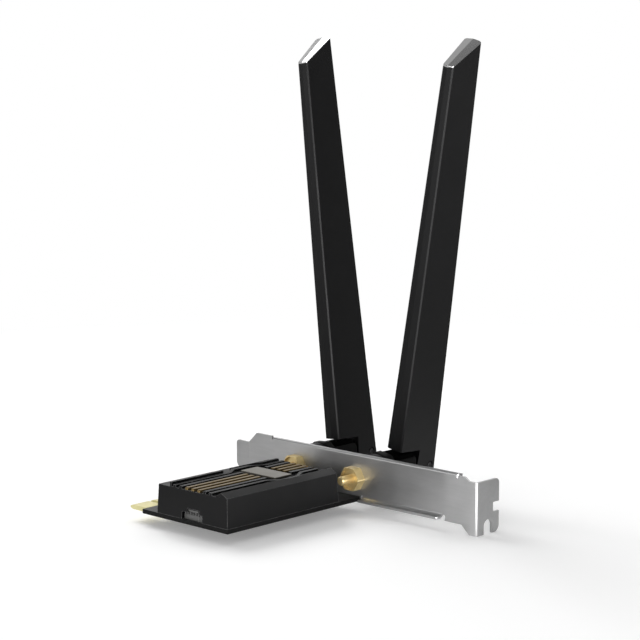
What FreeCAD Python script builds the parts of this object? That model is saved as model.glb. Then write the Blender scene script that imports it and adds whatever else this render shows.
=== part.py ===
import FreeCAD, Part
import math
import os

os.makedirs("parts", exist_ok=True)

V = FreeCAD.Vector

# Working frame, in millimetres: X runs along the bracket towards its tab, whose outer face
# is X = 0. Y points out of the back of the computer, and the bracket's card side is Y = 0.
# Z points up from the lowest edge of the tab. The finished part is moved so that the middle
# of its base is at the origin.

# Steel bracket
SHEET = 0.86
BRACKET_LENGTH = 120.02
STRIP_LOW = 3.20
STRIP_HIGH = 21.65
TAB_HEIGHT = 19.05
TAB_REACH = 12.29
TONGUE_LENGTH = 7.30
TONGUE_LOW = 7.00
TONGUE_HIGH = 17.50
TONGUE_LEAN = 4.4
BEND_RADIUS = 0.80
BEND_START = 1.60
LIP_REACH = 2.71
LIP_HIGH = 21.42
TOP_LIP_REACH = 2.70
TOP_LIP_FALL = 15.0
LIP_CORNER = 0.50
SLOT_HALF_WIDTH = 2.21
SLOT_DEPTH = 5.20

# Circuit board
BOARD_THICK = 1.60
BOARD_BOTTOM = 4.06
BOARD_RIGHT = -53.90
BOARD_WIDTH = 43.85
BOARD_FRONT = -67.25
BOARD_BACK = -0.80
EDGE_REACH = 8.60
EDGE_FRONT = -65.45
EDGE_NEAR_RUN = 7.65
EDGE_KEY = 1.90
EDGE_FAR_RUN = 11.65
FINGER_PITCH = 1.00

# Heatsink
SINK_RIGHT = -54.00
SINK_WIDTH = 35.80
SINK_FRONT = -67.25
SINK_BACK = -12.05
SINK_DRAFT = 0.48
SINK_TOP = 16.10
SINK_WALL = 1.90
FIN_TOP = 17.05
FIN_WIDTH = 1.45
FIN_PITCH = 3.05
FIN_BOW = 3.50
FIN_BOW_LEFT = -3.00
BOW_RADIUS = 1.50
RIDGE_TOP = 17.75
PLATE_LENGTH = 17.70
PLATE_SHIFT = 0.45
RIDGE_GROOVE = 1.23
RAIL_WIDTH = 0.95
RAIL_GROOVE = 0.75
RAIL_SLOPE = 0.65
PLATE_DEPTH = 8.40

# Coaxial connectors
JACK_X = (-86.40, -56.80)
JACK_Z = 12.10
JACK_HEX = 8.30
JACK_HEX_LENGTH = 3.60
JACK_THREAD = 3.17
JACK_BARREL = 11.40
JACK_ROD = 1.70

# Antennas
SLEEVE_RADIUS = 7.15
SLEEVE_START = 3.90
HINGE_REACH = 37.70
HINGE_TO_SLEEVE = 22.50
SLEEVE_END = HINGE_REACH - HINGE_TO_SLEEVE
PIN_RADIUS = 1.15
BLADE_LENGTH = 160.0
BLADE_SLANT = 10.0
BLADE_FRONT = (-18.0, -0.0577)
BLADE_BACK = (3.11, -0.1005)
BLADE_HALF = (3.59, -0.00755)
BLADE_CROWN = (0.100, 0.065)
BLADE_NOTCH = 6.50
BLADE_NOTCH_BACK = -7.40
BLADE_WALL = 1.30
AERIAL_HALF = 0.40
SWIVEL_REST = (-5.19, 9.88)
HINGE_REST = (2.41, 3.31)

BOARD_TOP = BOARD_BOTTOM + BOARD_THICK
BOARD_LEFT = BOARD_RIGHT - BOARD_WIDTH
SINK_LEFT = SINK_RIGHT - SINK_WIDTH
SINK_X = (SINK_LEFT + SINK_RIGHT) / 2.0
GAP = 0.30


def box(x0, x1, y0, y1, z0, z1):
    return Part.makeBox(x1 - x0, y1 - y0, z1 - z0, V(x0, y0, z0))


def rod_x(y, z, r, x0, x1):
    return Part.makeCylinder(r, x1 - x0, V(x0, y, z), V(1, 0, 0))


def rod_y(x, z, r, y0, y1):
    return Part.makeCylinder(r, y1 - y0, V(x, y0, z), V(0, 1, 0))


def rod_z(x, y, r, z0, z1):
    return Part.makeCylinder(r, z1 - z0, V(x, y, z0), V(0, 0, 1))


def rounded_face(points, radii=None):
    """Flat face from a closed run of points, each corner with its own radius."""
    count = len(points)
    if radii is None:
        radii = [0.0] * count
    corners = []
    for i in range(count):
        p = points[i]
        r = radii[i]
        if r <= 0.0:
            corners.append((p, None, p))
            continue
        to_prev = points[i - 1].sub(p)
        to_next = points[(i + 1) % count].sub(p)
        to_prev.normalize()
        to_next.normalize()
        half = to_prev.getAngle(to_next) / 2.0
        run = r / math.tan(half)
        bisector = to_prev.add(to_next)
        bisector.normalize()
        centre = p.add(bisector * (r / math.sin(half)))
        corners.append((p.add(to_prev * run), centre.sub(bisector * r), p.add(to_next * run)))
    edges = []
    for i in range(count):
        start, middle, end = corners[i]
        if middle is not None:
            edges.append(Part.Arc(start, middle, end).toShape())
        after = corners[(i + 1) % count][0]
        if end.distanceToPoint(after) > 1e-6:
            edges.append(Part.makeLine(end, after))
    return Part.Face(Part.Wire(edges))


def slab_xz(points, y0, y1, radii=None):
    face = rounded_face([V(x, y0, z) for x, z in points], radii)
    return face.extrude(V(0, y1 - y0, 0))


def slab_yz(points, x0, x1, radii=None):
    face = rounded_face([V(x0, y, z) for y, z in points], radii)
    return face.extrude(V(x1 - x0, 0, 0))


def slab_xy(points, z0, z1, radii=None):
    face = rounded_face([V(x, y, z0) for x, y in points], radii)
    return face.extrude(V(0, 0, z1 - z0))


def regular(u, v, r, sides, turn=0.0):
    """Corners of a regular polygon about (u, v), the first one at the angle `turn`."""
    points = []
    for k in range(sides):
        a = math.radians(360.0 * k / sides + turn)
        points.append((u + r * math.cos(a), v + r * math.sin(a)))
    return points


def prism_y(x, z, r, sides, y0, y1, turn=0.0):
    return slab_xz(regular(x, z, r, sides, turn), y0, y1)


def prism_z(x, y, r, sides, z0, z1, turn=0.0):
    return slab_xy(regular(x, y, r, sides, turn), z0, z1)


def frustum(first, second):
    """Solid between two flat outlines with matching, parallel edges."""
    count = len(first)
    faces = [
        Part.Face(Part.makePolygon(first + [first[0]])),
        Part.Face(Part.makePolygon(second + [second[0]])),
    ]
    for i in range(count):
        j = (i + 1) % count
        faces.append(Part.Face(Part.makePolygon([first[i], first[j], second[j], second[i], first[i]])))
    solid = Part.Solid(Part.Shell(faces))
    if solid.Volume < 0:
        solid.reverse()
    return solid


def join(shapes):
    whole = shapes[0]
    if len(shapes) > 1:
        whole = whole.fuse(shapes[1:])
    return whole.removeSplitter()


def group(shapes):
    return Part.makeCompound(shapes)


def bracket_strip():
    """Flat strip with its tapered ends, before the bends are added."""
    left = -BRACKET_LENGTH + TONGUE_LENGTH
    points = [
        (-BEND_START, 0.0),
        (-BEND_START, TAB_HEIGHT),
        (-3.70, TAB_HEIGHT),
        (-5.45, STRIP_HIGH - 1.30),
        (left + 13.0, STRIP_HIGH - 1.30),
        (left + 13.0, STRIP_HIGH),
        (left + 4.40, STRIP_HIGH),
        (left, TONGUE_HIGH),
        (left, TONGUE_LOW),
        (left + 3.70, STRIP_LOW),
        (-6.90, STRIP_LOW),
        (-3.40, 0.0),
    ]
    radii = [0, 0, 0, 0, 0, 0, 0.5, 0, 0, 0.5, 0.5, 0]
    return slab_xz(points, 0.0, SHEET, radii)


def bracket_tab():
    """End tab, bent out at a right angle, with its screw slot and side notch."""
    outline = rounded_face(
        [
            V(-BEND_START, 0, 0),
            V(0, 0, 0),
            V(0, TAB_REACH, 0),
            V(-SHEET, TAB_REACH, 0),
            V(-SHEET, SHEET, 0),
            V(-BEND_START, SHEET, 0),
        ],
        [0, BEND_RADIUS, 0, 0, 0.2, 0],
    )
    tab = outline.extrude(V(0, 0, TAB_HEIGHT))
    trim = slab_yz(
        [(-1, -1), (TAB_REACH, -1), (TAB_REACH, TAB_HEIGHT + 1), (-1, TAB_HEIGHT + 1)],
        -2 * SHEET - 1,
        1,
    )
    keep = slab_yz(
        [(-1, 0), (TAB_REACH, 0), (TAB_REACH, TAB_HEIGHT), (-1, TAB_HEIGHT)],
        -2 * SHEET - 1,
        1,
        [0, 2.6, 1.8, 0],
    )
    tab = tab.cut(trim.cut(keep))
    slot_y = SHEET + 5.26
    slot_z = SLOT_DEPTH - SLOT_HALF_WIDTH
    slot = join(
        [
            rod_x(slot_y, slot_z, SLOT_HALF_WIDTH, -2, 1),
            box(-2, 1, slot_y - SLOT_HALF_WIDTH, slot_y + SLOT_HALF_WIDTH, -1, slot_z),
        ]
    )
    notch = slab_yz([(9.0, 7.45), (14, 7.45), (14, 10.80), (9.0, 10.80)], -2, 1, [0.3, 0, 0, 0.3])
    return tab.cut(slot).cut(notch)


def bracket_tongue():
    """Narrow far end of the bracket, bent out by a few degrees."""
    left = -BRACKET_LENGTH
    start = left + TONGUE_LENGTH
    tongue = slab_xz(
        [(start + 0.4, TONGUE_HIGH), (left, TONGUE_HIGH), (left, TONGUE_LOW), (start + 0.4, TONGUE_LOW)],
        0.0,
        SHEET,
        [0, 1.3, 2.2, 0],
    )
    tongue.rotate(V(start, 0, 0), V(0, 0, 1), -TONGUE_LEAN)
    return tongue


def card_side_lip(x0, x1, top, reach, inner):
    """Flange along the strip's lower edge, curled towards the card."""
    outer = inner + SHEET
    centre_z = top + inner
    bend = rod_x(-inner, centre_z, outer, x0, x1).cut(rod_x(-inner, centre_z, inner, x0 - 1, x1 + 1))
    bend = bend.common(box(x0, x1, -inner, SHEET + 1, centre_z - outer - 1, centre_z))
    flat = slab_xy([(x0, -inner), (x0, -reach), (x1, -reach), (x1, -inner)], top - SHEET, top)
    return join([bend, flat])


def outer_lip(x0, x1):
    """Flange along the strip's upper edge, curled away from the card and sloping down."""
    fall = math.radians(TOP_LIP_FALL)
    drop = TOP_LIP_REACH * math.tan(fall)
    under = LIP_HIGH - SHEET / math.cos(fall) - SHEET * math.tan(fall)
    points = [
        (0.0, LIP_HIGH - 2.2),
        (0.0, LIP_HIGH),
        (TOP_LIP_REACH, LIP_HIGH - drop),
        (TOP_LIP_REACH - SHEET * math.sin(fall), LIP_HIGH - drop - SHEET * math.cos(fall)),
        (SHEET, under),
        (SHEET, LIP_HIGH - 2.2),
    ]
    lip = slab_yz(points, x0, x1, [0, 0.90, 0, 0, 0.15, 0])
    c = LIP_CORNER
    corner = slab_xy([(x1 - c, -1), (x1 + 1, -1), (x1 + 1, c + 1), (x1, c), (x1 - c, 0)], 0, 30)
    return lip.cut(corner)


LOW_LIP = (-53.25, -15.80)
TOP_LIP = (-99.60, -8.50)
LIP_INNER = 1.20
EAR_X = ((-92.0, -84.8), (-67.4, -60.2))
EAR_REACH = 8.60


def make_bracket():
    strip = bracket_strip()
    strip = strip.cut(box(LOW_LIP[0], LOW_LIP[1], -1, 2, -1, BOARD_BOTTOM + 0.70 + LIP_INNER))
    relief = slab_xz(
        [(-16.2, 2.0), (-14.6, 2.0), (-14.2, 5.4), (-16.2, 5.4)], -1, 2, [0, 0, 0.6, 0]
    )
    strip = strip.cut(relief)
    strip = strip.cut(box(LOW_LIP[0] - 0.75, LOW_LIP[0], -1, 2, -1, BOARD_BOTTOM + 1.90))
    for x0, x1 in EAR_X:
        strip = strip.cut(box(x0, x1, -1, 2, -1, BOARD_BOTTOM + 0.45))
    strip = strip.cut(box(TOP_LIP[0], TOP_LIP[1], -1, 2, LIP_HIGH - 1.95, 30))
    strip = strip.cut(box(TOP_LIP[0] - 0.45, TOP_LIP[0], -1, 2, LIP_HIGH - 1.20, 30))
    strip = strip.cut(box(TOP_LIP[1], TOP_LIP[1] + 0.70, -1, 2, LIP_HIGH - 1.30, 30))
    pieces = [
        strip,
        bracket_tab(),
        bracket_tongue(),
        card_side_lip(LOW_LIP[0], LOW_LIP[1], BOARD_BOTTOM + 0.70, LIP_REACH, LIP_INNER),
        outer_lip(TOP_LIP[0], TOP_LIP[1]),
    ]
    for x0, x1 in EAR_X:
        pieces.append(card_side_lip(x0, x1, BOARD_BOTTOM, EAR_REACH, 0.45))
    bracket = join(pieces)
    edge = -LIP_REACH
    end = LOW_LIP[1]
    c = LIP_CORNER
    bracket = bracket.cut(slab_xy([(end - c, edge), (end, edge + c), (end + 1, edge), (end, edge - 1)], 0, 6))
    for x in JACK_X:
        bracket = bracket.cut(prism_y(x, JACK_Z, JACK_THREAD + 0.14, 24, -1, 3))
    for x0, x1 in EAR_X:
        bracket = bracket.cut(prism_z((x0 + x1) / 2.0, -5.0, 1.10, 12, 0, BOARD_BOTTOM + 0.2))
    return bracket


def make_board():
    top = box(BOARD_LEFT, BOARD_RIGHT, BOARD_FRONT, BOARD_BACK, BOARD_BOTTOM, BOARD_TOP)
    left = BOARD_LEFT - EDGE_REACH
    back = EDGE_FRONT + EDGE_NEAR_RUN + EDGE_KEY + EDGE_FAR_RUN
    bevel = 0.45
    edge = rounded_face(
        [
            V(BOARD_LEFT + 1, EDGE_FRONT, BOARD_BOTTOM),
            V(left + 1.2, EDGE_FRONT, BOARD_BOTTOM),
            V(left, EDGE_FRONT, BOARD_BOTTOM + bevel),
            V(left, EDGE_FRONT, BOARD_TOP - bevel),
            V(left + 1.2, EDGE_FRONT, BOARD_TOP),
            V(BOARD_LEFT + 1, EDGE_FRONT, BOARD_TOP),
        ]
    ).extrude(V(0, back - EDGE_FRONT, 0))
    key_y = EDGE_FRONT + EDGE_NEAR_RUN
    key = box(left - 1, BOARD_LEFT - 1.0, key_y, key_y + EDGE_KEY, 0, 10)
    board = join([top, edge]).cut(key)
    for x0, x1 in EAR_X:
        board = board.cut(prism_z((x0 + x1) / 2.0, -5.0, 1.25, 12, 0, 10))
    for x, y in sink_screw_places():
        board = board.cut(prism_z(x, y, 1.25, 12, 0, 10))
    return board


def make_fingers():
    """Gold contact pads on both faces of the board's edge."""
    left = BOARD_LEFT - EDGE_REACH + 1.25
    right = BOARD_LEFT - 0.25
    first = EDGE_FRONT + 0.32
    second = EDGE_FRONT + EDGE_NEAR_RUN + EDGE_KEY + 0.32
    starts = [first + k * FINGER_PITCH for k in range(7)]
    starts += [second + k * FINGER_PITCH for k in range(11)]
    pads = []
    for y in starts:
        pads.append(box(left, right, y, y + 0.72, BOARD_TOP, BOARD_TOP + 0.05))
        pads.append(box(left, right, y, y + 0.72, BOARD_BOTTOM - 0.05, BOARD_BOTTOM))
    return group(pads)


def sink_screw_places():
    inset = 1.90 + 2.0
    places = []
    for x in (SINK_LEFT + inset, SINK_RIGHT - inset):
        for y in (SINK_FRONT + inset, SINK_BACK - inset):
            places.append((x, y))
    return places


def bow_path(x, shift, y0, y1):
    """Centre line of a fin that steps aside around the name plate."""
    front = PLATE_FRONT - 4.6
    back = PLATE_BACK + 4.6
    points = [(x, y0), (x, front), (x + shift, PLATE_FRONT - 0.3)]
    points += [(x + shift, PLATE_BACK - 0.6), (x, back), (x, y1)]
    return points


PLATE_MID = -31.40
PLATE_FRONT = PLATE_MID - PLATE_DEPTH / 2.0
PLATE_BACK = PLATE_MID + PLATE_DEPTH / 2.0
SINK_TOP_FRONT = SINK_FRONT + SINK_DRAFT
FIN_END = SINK_BACK - 0.95
TROUGH_FRONT = PLATE_FRONT - 1.70
TROUGH_BACK = PLATE_BACK + 2.20
RAIL_STOP = -41.95
RAIL_RESUME = -35.30
RAIL_END = -13.40


def bow_slab(x_left, x_right, shift, y0, y1, z0, z1):
    near = bow_path(x_left, shift, y0, y1)
    far = bow_path(x_right, shift, y0, y1)
    far.reverse()
    r = BOW_RADIUS
    radii = [0, r, r, r, r, 0, 0, r, r, r, r, 0]
    return slab_xy(near + far, z0, z1, radii)


def fin_profile(y0, y1, z0, z1, round_front, round_back):
    points = [(y0, z0), (y0, z1), (y1, z1), (y1, z0)]
    return points, [0, round_front, round_back, 0]


def straight_fin(x, y0, y1, round_front, round_back, z0=None):
    if z0 is None:
        z0 = SINK_TOP - 0.1
    points, radii = fin_profile(y0, y1, z0, FIN_TOP, round_front, round_back)
    return slab_yz(points, x - FIN_WIDTH / 2.0, x + FIN_WIDTH / 2.0, radii)


def sink_shell():
    """Drafted cover with a hollow underside."""
    rings = []
    for z, inset in ((BOARD_TOP, 0.0), (SINK_TOP, SINK_DRAFT)):
        x0 = SINK_LEFT + inset
        x1 = SINK_RIGHT - inset
        y0 = SINK_FRONT + inset
        y1 = SINK_BACK - inset
        rings.append([V(x0, y0, z), V(x1, y0, z), V(x1, y1, z), V(x0, y1, z)])
    shell = frustum(rings[0], rings[1])
    w = SINK_WALL
    hollow = box(
        SINK_LEFT + w, SINK_RIGHT - w, SINK_FRONT + w, SINK_BACK - w, BOARD_TOP - 1, SINK_TOP - 3.4
    )
    return shell.cut(hollow)


def side_ridge():
    """Sloped shoulder along the heatsink's right side, highest on its inner edge."""
    right = SINK_RIGHT - SINK_DRAFT
    points = [
        (right, SINK_TOP - 0.2),
        (right, SINK_TOP + 0.08),
        (right - 3.12, RIDGE_TOP),
        (right - 5.88, SINK_TOP),
        (right - 5.88, SINK_TOP - 0.2),
    ]
    ridge = slab_xz(points, SINK_TOP_FRONT, SINK_BACK - SINK_DRAFT, [0, 0.15, 0.2, 0, 0])
    x = SINK_X + 3 * FIN_PITCH + FIN_WIDTH / 2.0
    groove = bow_slab(x, x + RIDGE_GROOVE, FIN_BOW, SINK_FRONT - 1, FIN_END - 1.0, SINK_TOP, 20)
    fin_space = bow_slab(x - FIN_WIDTH, x + 0.05, FIN_BOW, SINK_FRONT - 1, FIN_END, SINK_TOP, 20)
    return ridge.cut(groove).cut(fin_space)


def left_rail(right, y0, z0):
    """Raised rail beside the first fin: two runs, the far one lower where it stands further out."""
    left = right - RAIL_WIDTH
    runs = bow_slab(left, right, FIN_BOW_LEFT, y0, RAIL_END, z0, RIDGE_TOP)
    break_out = box(SINK_LEFT - 5, SINK_RIGHT, RAIL_STOP, RAIL_RESUME, FIN_TOP - 0.9, 30)
    far = left + FIN_BOW_LEFT - 2
    far_top = RIDGE_TOP + 0.25 * (FIN_BOW_LEFT - 2)
    lean = slab_xz(
        [(far, far_top), (left, RIDGE_TOP), (left, 30), (far, 30)], RAIL_RESUME - 1, SINK_BACK
    )
    ramp = slab_yz(
        [
            (RAIL_END - RAIL_SLOPE, RIDGE_TOP),
            (RAIL_END - RAIL_SLOPE, 30.0),
            (RAIL_END + 0.1, 30.0),
            (RAIL_END + 0.1, SINK_TOP + 0.2),
            (RAIL_END, SINK_TOP + 0.2),
        ],
        left - 5,
        right + 5,
    )
    return [runs.cut(break_out).cut(lean).cut(ramp)]


def make_heatsink():
    pieces = [sink_shell(), side_ridge()]
    y0 = SINK_TOP_FRONT
    z0 = SINK_TOP - 0.1
    half = FIN_WIDTH / 2.0
    for k in (-2, 2):
        x = SINK_X + k * FIN_PITCH
        pieces.append(straight_fin(x, y0, TROUGH_FRONT, 0.5, 0))
        pieces.append(straight_fin(x, TROUGH_BACK, FIN_END, 0, 0.6))
    x = SINK_X + 3 * FIN_PITCH
    pieces.append(bow_slab(x - half, x + half, FIN_BOW, y0, FIN_END - 1.0, z0, FIN_TOP))
    x = SINK_X - 3 * FIN_PITCH
    pieces.append(bow_slab(x - half, x + half, FIN_BOW_LEFT, y0, FIN_END, z0, FIN_TOP))
    pieces.extend(left_rail(x - half - RAIL_GROOVE, y0, z0))
    seat = PLATE_LENGTH / 2.0 - 0.8
    middle = SINK_X + PLATE_SHIFT
    pieces.append(
        box(middle - seat, middle + seat, PLATE_FRONT + 0.8, PLATE_BACK - 0.8, z0, FIN_TOP - 0.60)
    )
    pieces.append(box(SINK_X - 8.0, SINK_X + 8.0, -50.0, -30.0, PAD_TOP, SINK_TOP - 3.2))
    for sx, sy in sink_screw_places():
        pieces.append(prism_z(sx, sy, 2.5, 8, BOARD_TOP, SINK_TOP - 3.2, 22.5))
    sink = join(pieces)
    for sx, sy in sink_screw_places():
        sink = sink.cut(prism_z(sx, sy, 1.02, 8, BOARD_TOP - 1, BOARD_TOP + 6.2))
    sink = sink.cut(header_window())
    return sink


HEADER_LEFT = -76.60
HEADER_RIGHT = -67.50
HEADER_FRONT = SINK_FRONT + 0.55
HEADER_STEP = -73.90
HEADER_TOP = BOARD_TOP + 3.70
HEADER_SHOULDER = BOARD_TOP + 2.30
HEADER_RIGHT_STEP = -68.35
HEADER_DEPTH = 5.30


def header_window():
    """Opening for the wired header in the foot of the heatsink's front wall."""
    g = 0.40
    points = [
        (HEADER_LEFT - g, BOARD_TOP - 1),
        (HEADER_LEFT - g, HEADER_SHOULDER + g),
        (HEADER_STEP - g, HEADER_SHOULDER + g),
        (HEADER_STEP - g, HEADER_TOP + g),
        (HEADER_RIGHT_STEP + g, HEADER_TOP + g),
        (HEADER_RIGHT_STEP + g, HEADER_SHOULDER + g),
        (HEADER_RIGHT + 0.9, HEADER_SHOULDER + g),
        (HEADER_RIGHT + 0.9, BOARD_TOP - 1),
    ]
    return slab_xz(points, SINK_FRONT - 1, SINK_FRONT + SINK_WALL + 1)


def make_header():
    """Side-entry wire header on the board's front edge."""
    y0 = HEADER_FRONT
    y1 = y0 + HEADER_DEPTH
    points = [
        (HEADER_LEFT, BOARD_TOP),
        (HEADER_LEFT, HEADER_SHOULDER),
        (HEADER_STEP, HEADER_SHOULDER),
        (HEADER_STEP, HEADER_TOP),
        (HEADER_RIGHT_STEP, HEADER_TOP),
        (HEADER_RIGHT_STEP, HEADER_SHOULDER),
        (HEADER_RIGHT, HEADER_SHOULDER),
        (HEADER_RIGHT, BOARD_TOP),
    ]
    body = slab_xz(points, y0, y1, [0, 0.2, 0, 0.3, 0.3, 0, 0.2, 0])
    low = box(HEADER_LEFT + 0.7, HEADER_RIGHT - 0.7, y0 - 1, y1 - 1.3, BOARD_TOP + 0.75, BOARD_TOP + 1.60)
    x0 = HEADER_STEP + 0.6
    x1 = HEADER_RIGHT_STEP - 0.6
    high = box(x0, x1, y0 - 1, y1 - 1.3, BOARD_TOP + 0.75, BOARD_TOP + 2.80)
    body = body.cut(low).cut(high)
    return body


def header_pin_x():
    first = HEADER_LEFT + 1.50
    last = HEADER_RIGHT - 1.65
    step = (last - first) / 4.0
    return [first + k * step for k in range(5)]


def make_header_pins():
    pins = []
    y1 = HEADER_FRONT + HEADER_DEPTH
    for x in header_pin_x():
        blade = box(x - 0.2, x + 0.2, HEADER_FRONT + 0.8, y1 - 1.3, BOARD_TOP + 1.1, BOARD_TOP + 1.5)
        tail = box(x - 0.2, x + 0.2, y1, y1 + 0.5, BOARD_TOP, BOARD_TOP + 0.25)
        pins.append(blade)
        pins.append(tail)
    return group(pins)


CARD_Y = (-54.20, -24.20)
CARD_HALF = 11.0
CARD_BOTTOM = BOARD_TOP + 1.80
CARD_TOP = CARD_BOTTOM + 0.80
CAN_TOP = CARD_TOP + 1.50
PAD_TOP = CAN_TOP + 1.10


def make_card():
    """Small radio card that stands on the board under the heatsink."""
    card = box(SINK_X - CARD_HALF, SINK_X + CARD_HALF, CARD_Y[0], CARD_Y[1], CARD_BOTTOM, CARD_TOP)
    card = card.cut(prism_z(SINK_X, CARD_Y[1], 1.75, 12, 0, 20))
    key = box(SINK_X + 5.6, SINK_X + 6.8, CARD_Y[0] - 1, CARD_Y[0] + 3.5, 0, 20)
    return card.cut(key)


def make_card_contacts():
    pads = []
    for k in range(16):
        x = SINK_X - 9.6 + k * 1.0
        pads.append(box(x, x + 0.6, CARD_Y[0] + 0.1, CARD_Y[0] + 0.95, CARD_TOP, CARD_TOP + 0.04))
    return group(pads)


def make_can():
    can = slab_xy(
        [
            (SINK_X - 9.6, CARD_Y[0] + 5.0),
            (SINK_X + 9.6, CARD_Y[0] + 5.0),
            (SINK_X + 9.6, CARD_Y[1] - 5.4),
            (SINK_X - 9.6, CARD_Y[1] - 5.4),
        ],
        CARD_TOP,
        CAN_TOP,
    )
    hollow = box(
        SINK_X - 9.4, SINK_X + 9.4, CARD_Y[0] + 5.2, CARD_Y[1] - 5.6, CARD_TOP - 1, CAN_TOP - 0.25
    )
    return can.cut(hollow)


def make_pad():
    return box(SINK_X - 7.8, SINK_X + 7.8, CARD_Y[0] + 5.6, CARD_Y[1] - 6.0, CAN_TOP, PAD_TOP)


def make_socket():
    """Edge socket that takes the front edge of the radio card."""
    body = box(SINK_X - 11.6, SINK_X + 11.6, CARD_Y[0] - 6.2, CARD_Y[0] + 1.05, BOARD_TOP, BOARD_TOP + 3.30)
    seat = box(
        SINK_X - CARD_HALF - 0.15,
        SINK_X + CARD_HALF + 0.15,
        CARD_Y[0] - 0.05,
        CARD_Y[0] + 2,
        CARD_BOTTOM,
        CARD_TOP + 0.12,
    )
    return body.cut(seat)


def make_standoff():
    post = prism_z(SINK_X, CARD_Y[1], 2.8, 6, BOARD_TOP, CARD_BOTTOM)
    neck = prism_z(SINK_X, CARD_Y[1], 1.60, 12, CARD_BOTTOM - 0.5, CARD_TOP - 0.05)
    return join([post, neck]).cut(prism_z(SINK_X, CARD_Y[1], 0.95, 12, BOARD_TOP - 1, CARD_TOP + 1))


def make_card_screw():
    return pan_screw(SINK_X, CARD_Y[1], CARD_TOP, 1, CARD_TOP - BOARD_TOP - 0.3, 2.60, 0.85, 0.75)


def make_coax_sockets():
    sockets = []
    for dx in (-7.4, 4.6):
        x = SINK_X + dx
        y = CARD_Y[1] - 2.6
        base = box(x - 1.3, x + 1.3, y - 1.3, y + 1.3, CARD_TOP, CARD_TOP + 0.25)
        ring = prism_z(x, y, 0.95, 12, CARD_TOP + 0.2, CARD_TOP + 0.95)
        ring = ring.cut(prism_z(x, y, 0.70, 8, CARD_TOP + 0.25, CARD_TOP + 2))
        sockets.append(base.fuse(ring).removeSplitter())
    return group(sockets)


def make_small_parts():
    """Ceramic chips in the space beside the radio card and under the board."""
    parts = []
    for k in range(6):
        x = SINK_X - CARD_HALF - 3.4
        y = -56.5 + k * 3.1
        parts.append(box(x, x + 1.6, y, y + 0.8, BOARD_TOP, BOARD_TOP + 0.8))
    for k in range(5):
        x = SINK_X + CARD_HALF + 1.4
        y = -52.0 + k * 3.6
        parts.append(box(x, x + 0.8, y, y + 1.6, BOARD_TOP, BOARD_TOP + 0.8))
    for k in range(4):
        y = EDGE_FRONT + 10.2 + k * 2.0
        parts.append(box(BOARD_LEFT + 1.2, BOARD_LEFT + 2.2, y, y + 0.5, BOARD_BOTTOM - 0.5, BOARD_BOTTOM))
    return group(parts)


def make_chips():
    """Square packages: one beside the socket and one under the board."""
    parts = [
        box(SINK_LEFT + 4.0, SINK_LEFT + 7.0, -34.0, -31.0, BOARD_TOP, BOARD_TOP + 1.2),
        box(SINK_X - 2.5, SINK_X + 2.5, -44.0, -39.0, BOARD_BOTTOM - 0.75, BOARD_BOTTOM),
    ]
    return group(parts)


def make_name_plate():
    """Plain plate lying across the fins."""
    x0 = SINK_X + PLATE_SHIFT - PLATE_LENGTH / 2.0
    x1 = SINK_X + PLATE_SHIFT + PLATE_LENGTH / 2.0
    return slab_xy(
        [(x0, PLATE_FRONT), (x1, PLATE_FRONT), (x1, PLATE_BACK), (x0, PLATE_BACK)],
        FIN_TOP - 0.60,
        FIN_TOP + 0.10,
        [0.5, 0.5, 0.5, 0.5],
    )


def make_gold_fins():
    fins = []
    y0 = SINK_TOP_FRONT
    for k in (-1, 0, 1):
        x = SINK_X + k * FIN_PITCH
        fins.append(straight_fin(x, y0, TROUGH_FRONT, 0.5, 0.2, SINK_TOP))
        fins.append(straight_fin(x, TROUGH_BACK, FIN_END, 0.2, 0.6, SINK_TOP))
    return group(fins)


def pan_screw(x, y, z, up, length, head=1.9, shank=0.95, thick=0.95):
    """Slotted screw along Z, with its head on the side that `up` points to."""
    cap = prism_z(x, y, head, 16, min(z, z + up * thick), max(z, z + up * thick))
    body = prism_z(x, y, shank, 8, min(z, z - up * length), max(z, z - up * length), 22.5)
    floor = z + up * (thick - 0.4)
    mouth = z + up * (thick + 1.0)
    r = head * 1.2
    cap = cap.cut(box(x - r, x + r, y - 0.22, y + 0.22, min(floor, mouth), max(floor, mouth)))
    return join([cap, body])


def make_ear_screws():
    screws = []
    for x0, x1 in EAR_X:
        length = BOARD_TOP - (BOARD_BOTTOM - SHEET)
        screws.append(pan_screw((x0 + x1) / 2.0, -5.0, BOARD_TOP, 1, length))
    return group(screws)


def make_sink_screws():
    screws = []
    for x, y in sink_screw_places():
        screws.append(pan_screw(x, y, BOARD_BOTTOM, -1, BOARD_THICK + 5.2, 1.9, 0.93, 0.70))
    return group(screws)


def make_jack(x):
    """Bulkhead coaxial jack: hexagon inside, threaded barrel outside, rod at the back."""
    z = JACK_Z
    face = -JACK_HEX_LENGTH
    corner = JACK_HEX / math.sqrt(3.0)
    body = prism_y(x, z, corner, 6, face, 0.0)
    cone = Part.makeCone(corner - 0.35, corner + 0.45, 0.8, V(x, face, z), V(0, 1, 0))
    cone = cone.fuse(rod_y(x, z, corner + 0.45, face + 0.8, 0.0))
    body = body.common(cone)
    cup = rod_y(x, z, JACK_HEX / 2.0 - 0.25, face - 1, face + 1.3)
    body = body.cut(cup)
    barrel = prism_y(x, z, JACK_THREAD, 20, -0.1, JACK_BARREL)
    rod = rod_y(x, z, JACK_ROD, face - 4.3, face + 1.5)
    rod_end = Part.makeCone(JACK_ROD - 0.4, JACK_ROD, 0.4, V(x, face - 4.7, z), V(0, 1, 0))
    body = join([body, barrel, rod, rod_end])
    return body.cut(prism_y(x, z, 2.32, 16, 4.4, JACK_BARREL + 1))


def make_jack_core(x):
    """Insulator inside the jack's barrel."""
    core = prism_y(x, JACK_Z, 2.27, 16, 4.4, 7.6)
    return core.cut(prism_y(x, JACK_Z, 0.50, 8, 4.0, 9.0))


def make_jack_pin(x):
    return prism_y(x, JACK_Z, 0.46, 8, 4.4, 10.1)


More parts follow.
